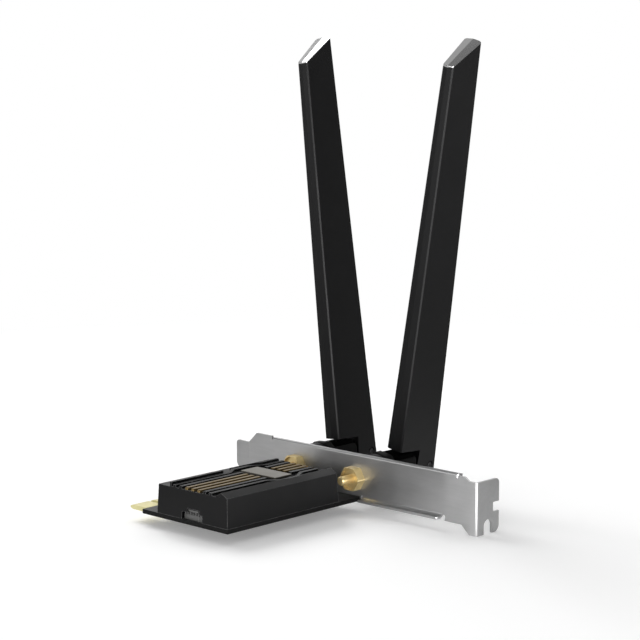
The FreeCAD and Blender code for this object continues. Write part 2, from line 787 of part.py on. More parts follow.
def make_washer(x):
    """Toothed lock washer between the bracket and the nut."""
    y0 = SHEET
    y1 = y0 + 0.50
    ring = prism_y(x, JACK_Z, 4.9, 20, y0, y1, 9.0)
    ring = ring.cut(prism_y(x, JACK_Z, JACK_THREAD + 0.12, 16, 0, 3))
    for k in range(10):
        notch = box(x + 4.25, x + 6.0, 0, 3, JACK_Z - 0.4, JACK_Z + 0.4)
        notch.rotate(V(x, 0, JACK_Z), V(0, 1, 0), 36.0 * k)
        ring = ring.cut(notch)
    return ring


def make_nut(x):
    y0 = SHEET + 0.50
    nut = prism_y(x, JACK_Z, 8.0 / math.sqrt(3.0), 6, y0, y0 + 2.10, 30.0)
    return nut.cut(prism_y(x, JACK_Z, JACK_THREAD + 0.05, 20, 0, 5))


def make_insert(x):
    """Threaded ring inside the antenna's coupling sleeve."""
    insert = prism_y(x, JACK_Z, 4.48, 20, SLEEVE_START + 0.3, SLEEVE_START + 7.3)
    return insert.cut(prism_y(x, JACK_Z, JACK_THREAD + 0.05, 20, SLEEVE_START - 1, SLEEVE_START + 9))


def make_sleeve(x):
    """Coupling sleeve that is turned by hand to fix the antenna."""
    y0 = SLEEVE_START
    y1 = SLEEVE_END
    r = SLEEVE_RADIUS
    body = rod_y(x, JACK_Z, r, y0 + 0.5, y1)
    start = Part.makeCone(r - 0.5, r, 0.5, V(x, y0, JACK_Z), V(0, 1, 0))
    body = join([body, start])
    return body.cut(prism_y(x, JACK_Z, 4.50, 20, y0 - 1, y1 + 1))


def to_antenna(shape, side, hinge):
    """Turn a piece drawn upright on the hinge line to its place on the card."""
    x = JACK_X[side]
    if hinge:
        shape.rotate(V(0, 0, 0), V(1, 0, 0), -HINGE_REST[side])
    shape.translate(V(x, HINGE_REACH, JACK_Z))
    shape.rotate(V(x, 0, JACK_Z), V(0, 1, 0), SWIVEL_REST[side])
    return shape


def octagon(r, half_x, half_z, y):
    """Eight-sided outline, flattened to the given half sizes."""
    c = min(half_x, half_z) * 0.586
    if half_x < r - 0.01:
        c = 0.7
    points = [
        (half_x - c, half_z),
        (half_x, half_z - c),
        (half_x, -half_z + c),
        (half_x - c, -half_z),
        (-half_x + c, -half_z),
        (-half_x, -half_z + c),
        (-half_x, half_z - c),
        (-half_x + c, half_z),
    ]
    return [V(px, y, pz) for px, pz in points]


COLLAR = 7.10
COLLAR_START = 6.50
COLLAR_NEAR_BLADE = 6.20
NECK_HALF_X = 3.55
NECK_HALF_Z = 4.80
TONGUE_HALF = 1.75


def make_knuckle(side):
    """Turning joint: round stem in the sleeve, eight-sided collar, flat neck and tongue."""
    y_collar = SLEEVE_END + GAP - HINGE_REACH
    y_wide = y_collar + 1.0
    y_fall = BLADE_FRONT[0] - 1.3
    y_taper = y_fall + 0.6
    y_neck = y_taper + 4.4
    near = COLLAR_NEAR_BLADE
    stem = rod_y(0, 0, 4.42, SLEEVE_START + 7.6 - HINGE_REACH, y_collar + 0.1)
    wide = octagon(COLLAR, COLLAR, COLLAR, y_wide)
    full = octagon(COLLAR, COLLAR, COLLAR, y_fall)
    waist = octagon(near, near, near, y_taper)
    lead = frustum(octagon(COLLAR_START, COLLAR_START, COLLAR_START, y_collar), wide)
    collar = join([lead, frustum(wide, full), frustum(full, waist)])
    taper = frustum(waist, octagon(near, NECK_HALF_X, NECK_HALF_Z, y_neck))
    y_end = BLADE_NOTCH_BACK - 0.55
    y0 = y_neck - 0.1
    h = NECK_HALF_Z
    neck = slab_yz(
        [(y0, -h), (y0, h), (y_end, h), (y_end, -h)],
        -NECK_HALF_X,
        NECK_HALF_X,
        [0, 0, 2.0, 2.0],
    )
    tongue = join(
        [
            box(-TONGUE_HALF, TONGUE_HALF, y_end - 1.0, 0.0, -4.2, 4.2),
            rod_x(0, 0, 4.2, -TONGUE_HALF, TONGUE_HALF),
        ]
    )
    web = box(-TONGUE_HALF, TONGUE_HALF, y_taper + 0.2, y_end - 2.2, NECK_HALF_Z - 0.5, BLADE_NOTCH - 0.30)
    body = join([stem, collar, taper, neck, tongue, web])
    body = body.cut(rod_x(0, 0, PIN_RADIUS + 0.05, -5, 5))
    body = body.cut(prism_y(0, 0, 2.37, 12, y_collar - 20.0, y_collar - 1.0))
    return to_antenna(body, side, False)


def make_plug(side):
    """Contact tube and insulator carried by the antenna's stem."""
    y0 = JACK_BARREL - 3.2 - HINGE_REACH
    y1 = SLEEVE_END + GAP - 1.0 - HINGE_REACH
    tube = prism_y(0, 0, 2.20, 12, y0, y1).cut(prism_y(0, 0, 0.65, 8, y0 - 1, y0 + 4.0))
    return to_antenna(tube, side, False)


def make_pin(side):
    pin = rod_x(0, 0, PIN_RADIUS, -BLADE_HALF[0] + 0.05, BLADE_HALF[0] - 0.05)
    return to_antenna(pin, side, True)


def blade_section(z, inset=0.0):
    """Outline of the blade at one height: flat sides, faintly arched edges."""
    t = BLADE_HALF[0] + BLADE_HALF[1] * z - inset
    front = BLADE_FRONT[0] + BLADE_FRONT[1] * z + inset
    back = BLADE_BACK[0] + BLADE_BACK[1] * z - inset
    c = 0.45
    if inset > 0.0:
        points = [(-t, front), (t, front), (t, back), (-t, back)]
    else:
        points = [
            (-t, front + c),
            (-t + c, front),
            (0.0, front - BLADE_CROWN[0] * (t - c)),
            (t - c, front),
            (t, front + c),
            (t, back - c),
            (t - c, back),
            (0.0, back + BLADE_CROWN[1] * (t - c)),
            (-t + c, back),
            (-t, back - c),
        ]
    return [V(px, py, z) for px, py in points]


def blade_top_z(y):
    """Height of the slanted top at a distance from the hinge line."""
    z_front = BLADE_LENGTH - BLADE_SLANT
    y_front = BLADE_FRONT[0] + BLADE_FRONT[1] * z_front
    y_back = BLADE_BACK[0] + BLADE_BACK[1] * BLADE_LENGTH
    return z_front + (y - y_front) * BLADE_SLANT / (y_back - y_front)


def below_top(drop):
    """Large block under the slanted top plane, used to cut the blade."""
    y0 = -60.0
    y1 = 40.0
    return slab_yz(
        [(y0, -30.0), (y1, -30.0), (y1, blade_top_z(y1) - drop), (y0, blade_top_z(y0) - drop)], -20, 20
    )


def blade_blank():
    blank = frustum(blade_section(-8.0), blade_section(BLADE_LENGTH + 12.0))
    blank = blank.common(below_top(0.45))
    foot_y = (BLADE_NOTCH_BACK + BLADE_BACK[0]) / 2.0
    foot_r = (BLADE_BACK[0] - BLADE_NOTCH_BACK) / 2.0
    outline = slab_yz(
        [
            (-80, BLADE_NOTCH),
            (BLADE_NOTCH_BACK, BLADE_NOTCH),
            (BLADE_NOTCH_BACK, -0.9 * foot_r),
            (BLADE_BACK[0] + 0.8, -0.9 * foot_r),
            (BLADE_BACK[0] + 0.8, BLADE_NOTCH),
            (60, BLADE_NOTCH),
            (60, 220),
            (-80, 220),
        ],
        -20,
        20,
        [0, 0, foot_r * 0.80, foot_r * 0.85, 0, 0, 0, 0],
    )
    blank = blank.common(outline)
    slot_half = TONGUE_HALF + 0.15
    slot = box(-slot_half, slot_half, BLADE_NOTCH_BACK - 1, 30, -30, 4.75)
    blank = blank.cut(slot)
    return blank


def blade_hollow():
    z0 = BLADE_NOTCH + 3.0
    z1 = BLADE_LENGTH + 5.0
    hollow = frustum(blade_section(z0, BLADE_WALL), blade_section(z1, BLADE_WALL))
    return hollow.common(below_top(2.2))


def aerial_ribs():
    """Ribs inside the housing that clamp the printed aerial."""
    ribs = []
    for z in (30.0, 75.0, 120.0):
        t = BLADE_HALF[0] + BLADE_HALF[1] * z - BLADE_WALL
        mid = (BLADE_FRONT[0] + BLADE_BACK[0]) / 2.0 + (BLADE_FRONT[1] + BLADE_BACK[1]) / 2.0 * z
        ribs.append(box(AERIAL_HALF, t + 0.3, mid - 3.0, mid + 3.0, z, z + 1.0))
        ribs.append(box(-t - 0.3, -AERIAL_HALF, mid - 3.0, mid + 3.0, z, z + 1.0))
    return ribs


def make_blade_half(side, sign):
    """One half of the blade's housing, split on the middle plane."""
    body = join([blade_blank().cut(blade_hollow())] + aerial_ribs())
    if sign < 0:
        body = body.common(box(-20, 0, -80, 60, -30, 220))
    else:
        body = body.common(box(0, 20, -80, 60, -30, 220))
    body = body.cut(rod_x(0, 0, PIN_RADIUS + 0.01, -9, 9))
    face = sign * BLADE_HALF[0]
    ring = prism_y(0, 0, PIN_RADIUS + 0.45, 14, 0, 0.5)
    ring.rotate(V(0, 0, 0), V(0, 0, 1), -90)
    ring.translate(V(min(face, face - sign * 0.5), 0, 0))
    body = body.cut(ring)
    return to_antenna(body, side, True)


def make_blade_cap(side):
    """Two-sloped cap on the slanted top of the blade."""
    blank = frustum(blade_section(100.0), blade_section(BLADE_LENGTH + 12.0))
    blank = blank.cut(below_top(0.45))
    half = 4.0
    fall = 0.62
    ends = []
    for y in (-60.0, 40.0):
        z = blade_top_z(y) + 0.30
        foot = [V(-half, y, z - 30), V(half, y, z - 30)]
        ends.append(foot + [V(half, y, z - fall), V(0, y, z), V(-half, y, z - fall)])
    wedge = frustum(ends[0], ends[1])
    cap = blank.common(wedge)
    return to_antenna(cap, side, True)


def make_radiator(side):
    """Thin printed aerial held in the blade's hollow."""
    z0 = BLADE_NOTCH + 6.0
    z1 = BLADE_LENGTH - BLADE_SLANT - 8.0
    y_low = (BLADE_FRONT[0] + BLADE_BACK[0]) / 2.0 + (BLADE_FRONT[1] + BLADE_BACK[1]) / 2.0 * z0
    y_high = (BLADE_FRONT[0] + BLADE_BACK[0]) / 2.0 + (BLADE_FRONT[1] + BLADE_BACK[1]) / 2.0 * z1
    strip = slab_yz(
        [(y_low - 4.2, z0), (y_low + 4.2, z0), (y_high + 4.2, z1), (y_high - 4.2, z1)],
        -AERIAL_HALF,
        AERIAL_HALF,
    )
    return to_antenna(strip, side, True)


SIDES = (("left", 0), ("right", 1))


def build_nodes():
    nodes = {
        "bracket": make_bracket(),
        "board": make_board(),
        "edge_contacts": make_fingers(),
        "heatsink": make_heatsink(),
        "gold_fins": make_gold_fins(),
        "name_plate": make_name_plate(),
        "thermal_pad": make_pad(),
        "radio_card": make_card(),
        "radio_card_contacts": make_card_contacts(),
        "shield_can": make_can(),
        "card_socket": make_socket(),
        "card_standoff": make_standoff(),
        "card_screw": make_card_screw(),
        "card_coax_sockets": make_coax_sockets(),
        "wire_header": make_header(),
        "wire_header_pins": make_header_pins(),
        "chip_capacitors": make_small_parts(),
        "chip_packages": make_chips(),
        "ear_screws": make_ear_screws(),
        "heatsink_screws": make_sink_screws(),
    }
    for name, side in SIDES:
        x = JACK_X[side]
        nodes["jack_" + name] = make_jack(x)
        nodes["jack_core_" + name] = make_jack_core(x)
        nodes["jack_pin_" + name] = make_jack_pin(x)
        nodes["lock_washer_" + name] = make_washer(x)
        nodes["jack_nut_" + name] = make_nut(x)
        nodes["coupling_insert_" + name] = make_insert(x)
        nodes["coupling_sleeve_" + name] = make_sleeve(x)
        nodes["knuckle_" + name] = make_knuckle(side)
        nodes["plug_" + name] = make_plug(side)
        nodes["hinge_pin_" + name] = make_pin(side)
        nodes["blade_inner_" + name] = make_blade_half(side, -1)
        nodes["blade_outer_" + name] = make_blade_half(side, 1)
        nodes["blade_cap_" + name] = make_blade_cap(side)
        nodes["radiator_" + name] = make_radiator(side)
    return nodes


def bounds_of(nodes):
    low = [1e9] * 3
    high = [-1e9] * 3
    for shape in nodes.values():
        b = shape.BoundBox
        low = [min(low[0], b.XMin), min(low[1], b.YMin), min(low[2], b.ZMin)]
        high = [max(high[0], b.XMax), max(high[1], b.YMax), max(high[2], b.ZMax)]
    return low, high


def main():
    nodes = build_nodes()
    low, high = bounds_of(nodes)
    shift = V(-(low[0] + high[0]) / 2.0, -(low[1] + high[1]) / 2.0, -low[2])
    print("shift", round(shift.x, 4), round(shift.y, 4), round(shift.z, 4))
    for name, shape in nodes.items():
        shape.translate(shift)
        print(name, len(shape.Solids), round(shape.Volume, 2), shape.isValid())
        shape.exportStep("parts/" + name + ".step")


main()
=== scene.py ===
import logging
import math
from collections.abc import Callable
from dataclasses import dataclass, field
from enum import Enum

import bmesh
import bpy
import numpy as np
from mathutils import Matrix, Vector


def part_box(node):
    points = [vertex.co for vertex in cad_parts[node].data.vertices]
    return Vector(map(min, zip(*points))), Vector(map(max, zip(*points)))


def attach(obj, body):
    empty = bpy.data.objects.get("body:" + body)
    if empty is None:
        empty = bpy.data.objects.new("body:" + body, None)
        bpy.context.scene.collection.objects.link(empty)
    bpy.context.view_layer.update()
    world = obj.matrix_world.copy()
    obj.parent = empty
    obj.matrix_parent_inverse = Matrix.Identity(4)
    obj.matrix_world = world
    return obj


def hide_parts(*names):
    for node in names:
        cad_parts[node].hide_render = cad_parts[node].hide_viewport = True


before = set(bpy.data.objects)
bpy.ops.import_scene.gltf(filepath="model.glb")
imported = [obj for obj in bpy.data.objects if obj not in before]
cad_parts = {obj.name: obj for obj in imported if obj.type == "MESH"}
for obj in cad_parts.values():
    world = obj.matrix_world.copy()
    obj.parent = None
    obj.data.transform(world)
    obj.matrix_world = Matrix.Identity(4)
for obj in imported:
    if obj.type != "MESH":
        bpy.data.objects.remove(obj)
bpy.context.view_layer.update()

LOG = logging.getLogger("network_card")
MM = 0.001
TAU = 2.0 * math.pi
QUARTER = math.pi / 2.0
CRISP_ANGLE = 38.0

# What a socket may be fed with: another socket, a number, a colour or a vector
Value = bpy.types.NodeSocket | float | tuple
# A change of the (radius, place, angle) grids of a turned piece, which gives back (radius, place)
GridChange = Callable[[np.ndarray, np.ndarray, np.ndarray], tuple]


# Shapes worked out as whole arrays, in millimetres


class Axis(Enum):
    """Direction along which an outline is carried; the outline lies in the other two axes."""

    X = 0
    Y = 1
    Z = 2


@dataclass(frozen=True)
class Datum:
    """Offset from the bracket's own corner (tab face, card side, tab foot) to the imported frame."""

    x: float
    y: float
    z: float

    @classmethod
    def from_bracket(cls, tab_reach: float = 12.29) -> "Datum":
        """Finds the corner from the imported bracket's box.

        Args:
            tab_reach: how far the tab's edge stands from the bracket's card side, in mm.

        Returns:
            The datum, in millimetres.
        """
        low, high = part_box("bracket")
        return cls(high.x / MM, high.y / MM - tab_reach, low.z / MM)

    def place(self, points: np.ndarray) -> np.ndarray:
        """Moves points from the bracket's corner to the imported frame, still in mm."""
        return points + np.array([self.x, self.y, self.z])

    def part(self, points: np.ndarray) -> np.ndarray:
        """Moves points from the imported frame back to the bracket's corner, in mm."""
        return points - np.array([self.x, self.y, self.z])


DATUM = Datum.from_bracket()


def new_object(name: str, mesh: bpy.types.Mesh) -> bpy.types.Object:
    """Links a mesh into the scene as an object at the origin.

    Args:
        name: the object's name.
        mesh: its mesh, with its place in it.

    Returns:
        The new object.
    """
    piece = bpy.data.objects.new(name, mesh)
    bpy.context.scene.collection.objects.link(piece)
    return piece


def mesh_from_arrays(name: str, points: np.ndarray, faces: list, sharp: float = CRISP_ANGLE) -> bpy.types.Object:
    """Makes a piece from points in the bracket's frame and a list of faces.

    Args:
        name: the piece's name.
        points: (n, 3) array in millimetres.
        faces: lists of point numbers, outward by the right-hand rule.
        sharp: edges that turn by more than this many degrees stay crisp.

    Returns:
        The new object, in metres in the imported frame.
    """
    mesh = bpy.data.meshes.new(name)
    mesh.from_pydata(DATUM.place(points) * MM, [], faces)
    mesh.validate()
    mesh.polygons.foreach_set("use_smooth", np.ones(len(mesh.polygons), bool))
    mesh.set_sharp_from_angle(angle=math.radians(sharp))
    return new_object(name, mesh)


def loop_faces(loops: int, count: int, close: bool = False) -> list:
    """Quads between neighbouring closed loops of points.

    Args:
        loops: how many loops there are.
        count: points in each loop.
        close: whether the last loop joins the first again.

    Returns:
        A list of four-point faces.
    """
    rows = np.arange(loops if close else loops - 1)
    columns = np.arange(count)
    row, column = (a.ravel() for a in np.meshgrid(rows, columns, indexing="ij"))
    after_row = (row + 1) % loops
    after_column = (column + 1) % count
    quads = np.stack(
        [
            row * count + column,
            row * count + after_column,
            after_row * count + after_column,
            after_row * count + column,
        ],
        axis=1,
    )
    return quads.tolist()


def rounded_outline(corners: np.ndarray, radii: np.ndarray, steps: int) -> np.ndarray:
    """Closed outline whose corners are arcs tangent to both sides.

    Each arc turns evenly between the directions from its centre to the two tangent points.

    Args:
        corners: (n, 2) corner points in order.
        radii: (n,) corner radii, all above zero.
        steps: points along each arc.

    Returns:
        (n * steps, 2) array of points.
    """
    corners = np.asarray(corners, float)
    radii = np.asarray(radii, float)[:, None]
    back = np.roll(corners, 1, axis=0) - corners
    ahead = np.roll(corners, -1, axis=0) - corners
    back /= np.linalg.norm(back, axis=1, keepdims=True)
    ahead /= np.linalg.norm(ahead, axis=1, keepdims=True)
    half = np.arccos(np.clip((back * ahead).sum(1, keepdims=True), -0.9999, 0.9999)) / 2.0
    middle = back + ahead
    middle /= np.linalg.norm(middle, axis=1, keepdims=True)
    centre = corners + middle * radii / np.sin(half)
    start = corners + back * radii / np.tan(half) - centre
    end = corners + ahead * radii / np.tan(half) - centre
    turn = (math.pi - 2.0 * half)[:, None, :]
    t = np.linspace(0.0, 1.0, steps)[None, :, None]
    arc = (np.sin((1 - t) * turn) * start[:, None] + np.sin(t * turn) * end[:, None]) / np.sin(turn)
    return (centre[:, None] + arc).reshape(-1, 2)


def outline_normals(outline: np.ndarray) -> np.ndarray:
    """Outward normals at the points of a closed counter-clockwise outline.

    Each is the mean of its two sides' normals, made longer at a corner so that a point moved
    along it keeps its distance from both sides, up to twice the unit length.

    Args:
        outline: (n, 2) array of points.

    Returns:
        (n, 2) array of normals.
    """
    side = np.roll(outline, -1, axis=0) - outline
    normal = np.stack([side[:, 1], -side[:, 0]], axis=1)
    normal /= np.maximum(np.linalg.norm(normal, axis=1, keepdims=True), 1e-9)
    mean = normal + np.roll(normal, 1, axis=0)
    mean /= np.maximum(np.linalg.norm(mean, axis=1, keepdims=True), 1e-9)
    return mean / np.maximum((mean * normal).sum(1, keepdims=True), 0.5)


def counter_clockwise(outline: np.ndarray) -> np.ndarray:
    """Turns an outline round if it runs clockwise, which shows in the sign of its area.

    Args:
        outline: (n, 2) array of points.

    Returns:
        The outline, counter-clockwise.
    """
    x, y = outline[:, 0], outline[:, 1]
    area = (x * np.roll(y, -1) - np.roll(x, -1) * y).sum()
    return outline if area > 0 else outline[::-1]


def stacked(outline: np.ndarray, insets: np.ndarray, places: np.ndarray, axis: Axis) -> tuple:
    """Solid whose loops are one outline drawn in by a distance at each place along an axis.

    Args:
        outline: (n, 2) closed outline in the two axes after `axis`, in cyclic order.
        insets: how far each loop stands in, in mm.
        places: where each loop lies along the axis.
        axis: the direction of the solid.

    Returns:
        (points, faces) with the faces outward.
    """
    outline = counter_clockwise(np.asarray(outline, float))
    normal = outline_normals(outline)
    flat = outline[None] - normal[None] * np.asarray(insets)[:, None, None]
    count = len(outline)
    points = np.empty((len(places), count, 3))
    first, second = (axis.value + 1) % 3, (axis.value + 2) % 3
    points[..., first] = flat[..., 0]
    points[..., second] = flat[..., 1]
    points[..., axis.value] = np.asarray(places)[:, None]
    faces = loop_faces(len(places), count)
    last = (len(places) - 1) * count
    faces.append(list(range(count))[::-1])
    faces.append(list(range(last, last + count)))
    return points.reshape(-1, 3), faces


def eased_prism(outline: np.ndarray, low: float, high: float, ease: float, axis: Axis, steps: int) -> tuple:
    """Straight solid with its two rims rounded by a quarter circle.

    Loop k of a rim stands in by ease * (1 - sin a) and up by ease * (1 - cos a), with a from 0
    to a quarter turn.

    Args:
        outline: (n, 2) closed outline in the two axes after `axis`, in cyclic order.
        low: start along the axis.
        high: end along the axis.
        ease: radius of the rims.
        axis: the direction of the solid.
        steps: how many loops each rim has.

    Returns:
        (points, faces) with the faces outward.
    """
    angle = np.linspace(0.0, QUARTER, steps + 1)
    inset = ease * (1 - np.sin(angle))
    rise = ease * (1 - np.cos(angle))
    insets = np.concatenate([inset, inset[::-1]])
    places = np.concatenate([low + rise, high - rise[::-1]])
    return stacked(outline, insets, places, axis)


def turned(
    profile: np.ndarray,
    centre: tuple,
    segments: int,
    shape: GridChange | None = None,
    closed: bool = False,
    axis: Axis = Axis.Y,
) -> tuple:
    """Solid of revolution about a line along one axis.

    Point (r, t) of the profile goes to t along the axis and (r cos a, r sin a) across it. The
    whole grid of (profile point, angle) is worked out at once, and `shape` may change r or t.

    Args:
        profile: (n, 2) array of radius and place along the axis.
        centre: place of the line in the two other axes, in the order X, Y, Z.
        segments: points round the axis.
        shape: optional function of (radius, place, angle) grids that returns (radius, place).
        closed: whether the profile's end joins its start, as on a ring.
        axis: direction of the line.

    Returns:
        (points, faces).
    """
    profile = np.asarray(profile, float)
    angle = np.arange(segments) * TAU / segments
    r = np.repeat(profile[:, :1], segments, axis=1)
    t = np.repeat(profile[:, 1:], segments, axis=1)
    a = np.repeat(angle[None], len(profile), axis=0)
    if shape is not None:
        r, t = shape(r, t, a)
    across = [k for k in range(3) if k != axis.value]
    points = np.empty((*r.shape, 3))
    points[..., across[0]] = centre[0] + r * np.cos(a)
    points[..., across[1]] = centre[1] + r * np.sin(a)
    points[..., axis.value] = t
    faces = loop_faces(len(profile), segments, close=closed)
    if not closed:
        last = (len(profile) - 1) * segments
        faces.append(list(range(segments))[::-1])
        faces.append(list(range(last, last + segments)))
    return points.reshape(-1, 3), faces


def hexagon(radius: float, angle: np.ndarray, turn: float = 0.0, blunt: float = 0.10) -> np.ndarray:
    """Distance from the middle to the side of a hexagon at each angle.

    The side stands at radius * cos(30 degrees); the distance is that divided by the cosine of the
    angle from the side's middle, and no more than the corner radius less `blunt`.

    Args:
        radius: corner radius in mm.
        angle: angles in radians.
        turn: angle of the first corner in radians.
        blunt: how much each corner is taken off, in mm.

    Returns:
        Radii in mm.
    """
    sixth = math.pi / 3.0
    from_middle = np.mod(angle - turn, sixth) - sixth / 2.0
    return np.minimum(radius * math.cos(sixth / 2.0) / np.cos(from_middle), radius - blunt)


def thread(low: float, high: float, pitch: float, per_turn: int = 6) -> np.ndarray:
    """Places along a screw thread, evenly spaced with `per_turn` of them in each pitch."""
    count = max(2, int(round((high - low) / pitch * per_turn)))
    return np.linspace(low, high, count + 1)


def ridge(place: np.ndarray, angle: np.ndarray, pitch: float, depth: float) -> np.ndarray:
    """Depth of a helical thread: a triangle wave of the place along it less the turn made."""
    phase = np.mod(place / pitch - angle / TAU, 1.0)
    return depth * (1.0 - np.abs(2.0 * phase - 1.0))


def block(x0: float, x1: float, y0: float, y1: float, z0: float, z1: float, ease: float = 0.06) -> tuple:
    """Straight-sided piece with rounded corners along Z and eased rims.

    Args:
        x0: low end in X.
        x1: high end in X.
        y0: low end in Y.
        y1: high end in Y.
        z0: bottom.
        z1: top.
        ease: radius of the corners and rims.

    Returns:
        (points, faces).
    """
    corners = np.array([(x0, y0), (x1, y0), (x1, y1), (x0, y1)])
    return eased_prism(rounded_outline(corners, np.full(4, ease), 3), z0, z1, ease * 0.8, Axis.Z, 2)


def sampled(corners: np.ndarray, step: float) -> np.ndarray:
    """Points along a broken line, evenly spaced on each side of it; every corner is kept.

    Args:
        corners: (n, 2) corner points in order.
        step: the largest gap between two points.

    Returns:
        (m, 2) array of points.
    """
    corners = np.asarray(corners, float)
    gaps = np.linalg.norm(np.diff(corners, axis=0), axis=1)
    counts = np.maximum(1, np.ceil(gaps / step)).astype(int)
    whole = np.repeat(np.arange(len(counts)), counts)
    first = np.concatenate([[0], np.cumsum(counts)[:-1]])
    part = (np.arange(counts.sum()) - first[whole]) / counts[whole]
    points = corners[whole] + (corners[whole + 1] - corners[whole]) * part[:, None]
    return np.vstack([points, corners[-1:]])


def merged(parts: list) -> tuple:
    """Joins several shapes into one.

    Args:
        parts: (points, faces) of each shape.

    Returns:
        (points, faces).
    """
    points = []
    faces = []
    start = 0
    for part_points, part_faces in parts:
        points.append(part_points)
        faces.extend([[i + start for i in face] for face in part_faces])
        start += len(part_points)
    return np.concatenate(points), faces


def faced_out(piece: bpy.types.Object) -> bpy.types.Object:
    """Turns a closed piece's faces outwards.

    Args:
        piece: the object, whose mesh is changed.

    Returns:
        The same object.
    """
    work = bmesh.new()
    work.from_mesh(piece.data)
    bmesh.ops.recalc_face_normals(work, faces=work.faces)
    work.to_mesh(piece.data)
    work.free()
    return piece


MERGE_DISTANCE = 2e-6
PLANE_DISTANCE = 1e-6
FLAT_ANGLE = 0.6


def welded_copy(name: str, node: str, cuts: tuple) -> bpy.types.Mesh:
    """A copy of a CAD node's mesh with its points merged and its flat faces joined.

    Args:
        name: the new mesh's name.
        node: the CAD node to copy, which stays as it is.
        cuts: (point, direction) of each plane that divides long faces, in the part's mm.

    Returns:
        The new mesh.
    """
    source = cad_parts[node].data
    points = np.empty(len(source.vertices) * 3)
    source.vertices.foreach_get("co", points)
    faces = np.empty(len(source.loops), int)
    source.loops.foreach_get("vertex_index", faces)
    mesh = bpy.data.meshes.new(name)
    mesh.from_pydata(points.reshape(-1, 3), [], faces.reshape(-1, 3).tolist())
    work = bmesh.new()
    work.from_mesh(mesh)
    bmesh.ops.remove_doubles(work, verts=work.verts, dist=MERGE_DISTANCE)
    bmesh.ops.dissolve_degenerate(work, edges=work.edges, dist=PLANE_DISTANCE)
    bmesh.ops.dissolve_limit(
        work, angle_limit=math.radians(FLAT_ANGLE), verts=work.verts, edges=work.edges,
        use_dissolve_boundaries=False,
    )
    for point, direction in cuts:
        bmesh.ops.bisect_plane(
            work, geom=work.verts[:] + work.edges[:] + work.faces[:], dist=PLANE_DISTANCE,
            plane_co=tuple(DATUM.place(np.array(point)) * MM), plane_no=tuple(direction),
        )
    bmesh.ops.recalc_face_normals(work, faces=work.faces)
    work.to_mesh(mesh)
    work.free()
    return mesh


def move_points(mesh: bpy.types.Mesh, change: Callable[[np.ndarray], np.ndarray]) -> None:
    """Moves all points of a mesh at once.

    Args:
        mesh: the mesh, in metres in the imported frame.
        change: gives back the moved points, from one (n, 3) array in the part's mm.
    """
    points = np.empty(len(mesh.vertices) * 3)
    mesh.vertices.foreach_get("co", points)
    points = DATUM.place(change(DATUM.part(points.reshape(-1, 3) / MM))) * MM
    mesh.vertices.foreach_set("co", points.ravel())
    mesh.update()


def eased_copy(
    name: str,
    node: str,
    width: float,
    angle: float = 28.0,
    cuts: tuple = (),
    reshape: Callable[[np.ndarray], np.ndarray] | None = None,
) -> bpy.types.Object:
    """A welded copy of a CAD node, with its edges rounded by two faces each.

    Args:
        name: the new piece's name.
        node: the CAD node to copy.
        width: how far the rounding reaches from each edge, in mm.
        angle: only edges that turn by more than this many degrees are rounded.
        cuts: (point, direction) of each plane that divides long faces, in the part's mm.
        reshape: moves the welded points, as one (n, 3) array in the part's mm.

    Returns:
        The new object.
    """
    mesh = welded_copy(name, node, cuts)
    if reshape is not None:
        move_points(mesh, reshape)
    mesh.polygons.foreach_set("use_smooth", np.ones(len(mesh.polygons), bool))
    piece = new_object(name, mesh)
    bevel = piece.modifiers.new("eased_edges", "BEVEL")
    bevel.width = width * MM
    bevel.segments = 2
    bevel.limit_method = "ANGLE"
    bevel.angle_limit = math.radians(angle)
    bevel.use_clamp_overlap = True
    bevel.miter_outer = "MITER_ARC"
    weighted = piece.modifiers.new("flat_faces", "WEIGHTED_NORMAL")
    weighted.keep_sharp = False
    weighted.weight = 100
    return piece


# Shader building


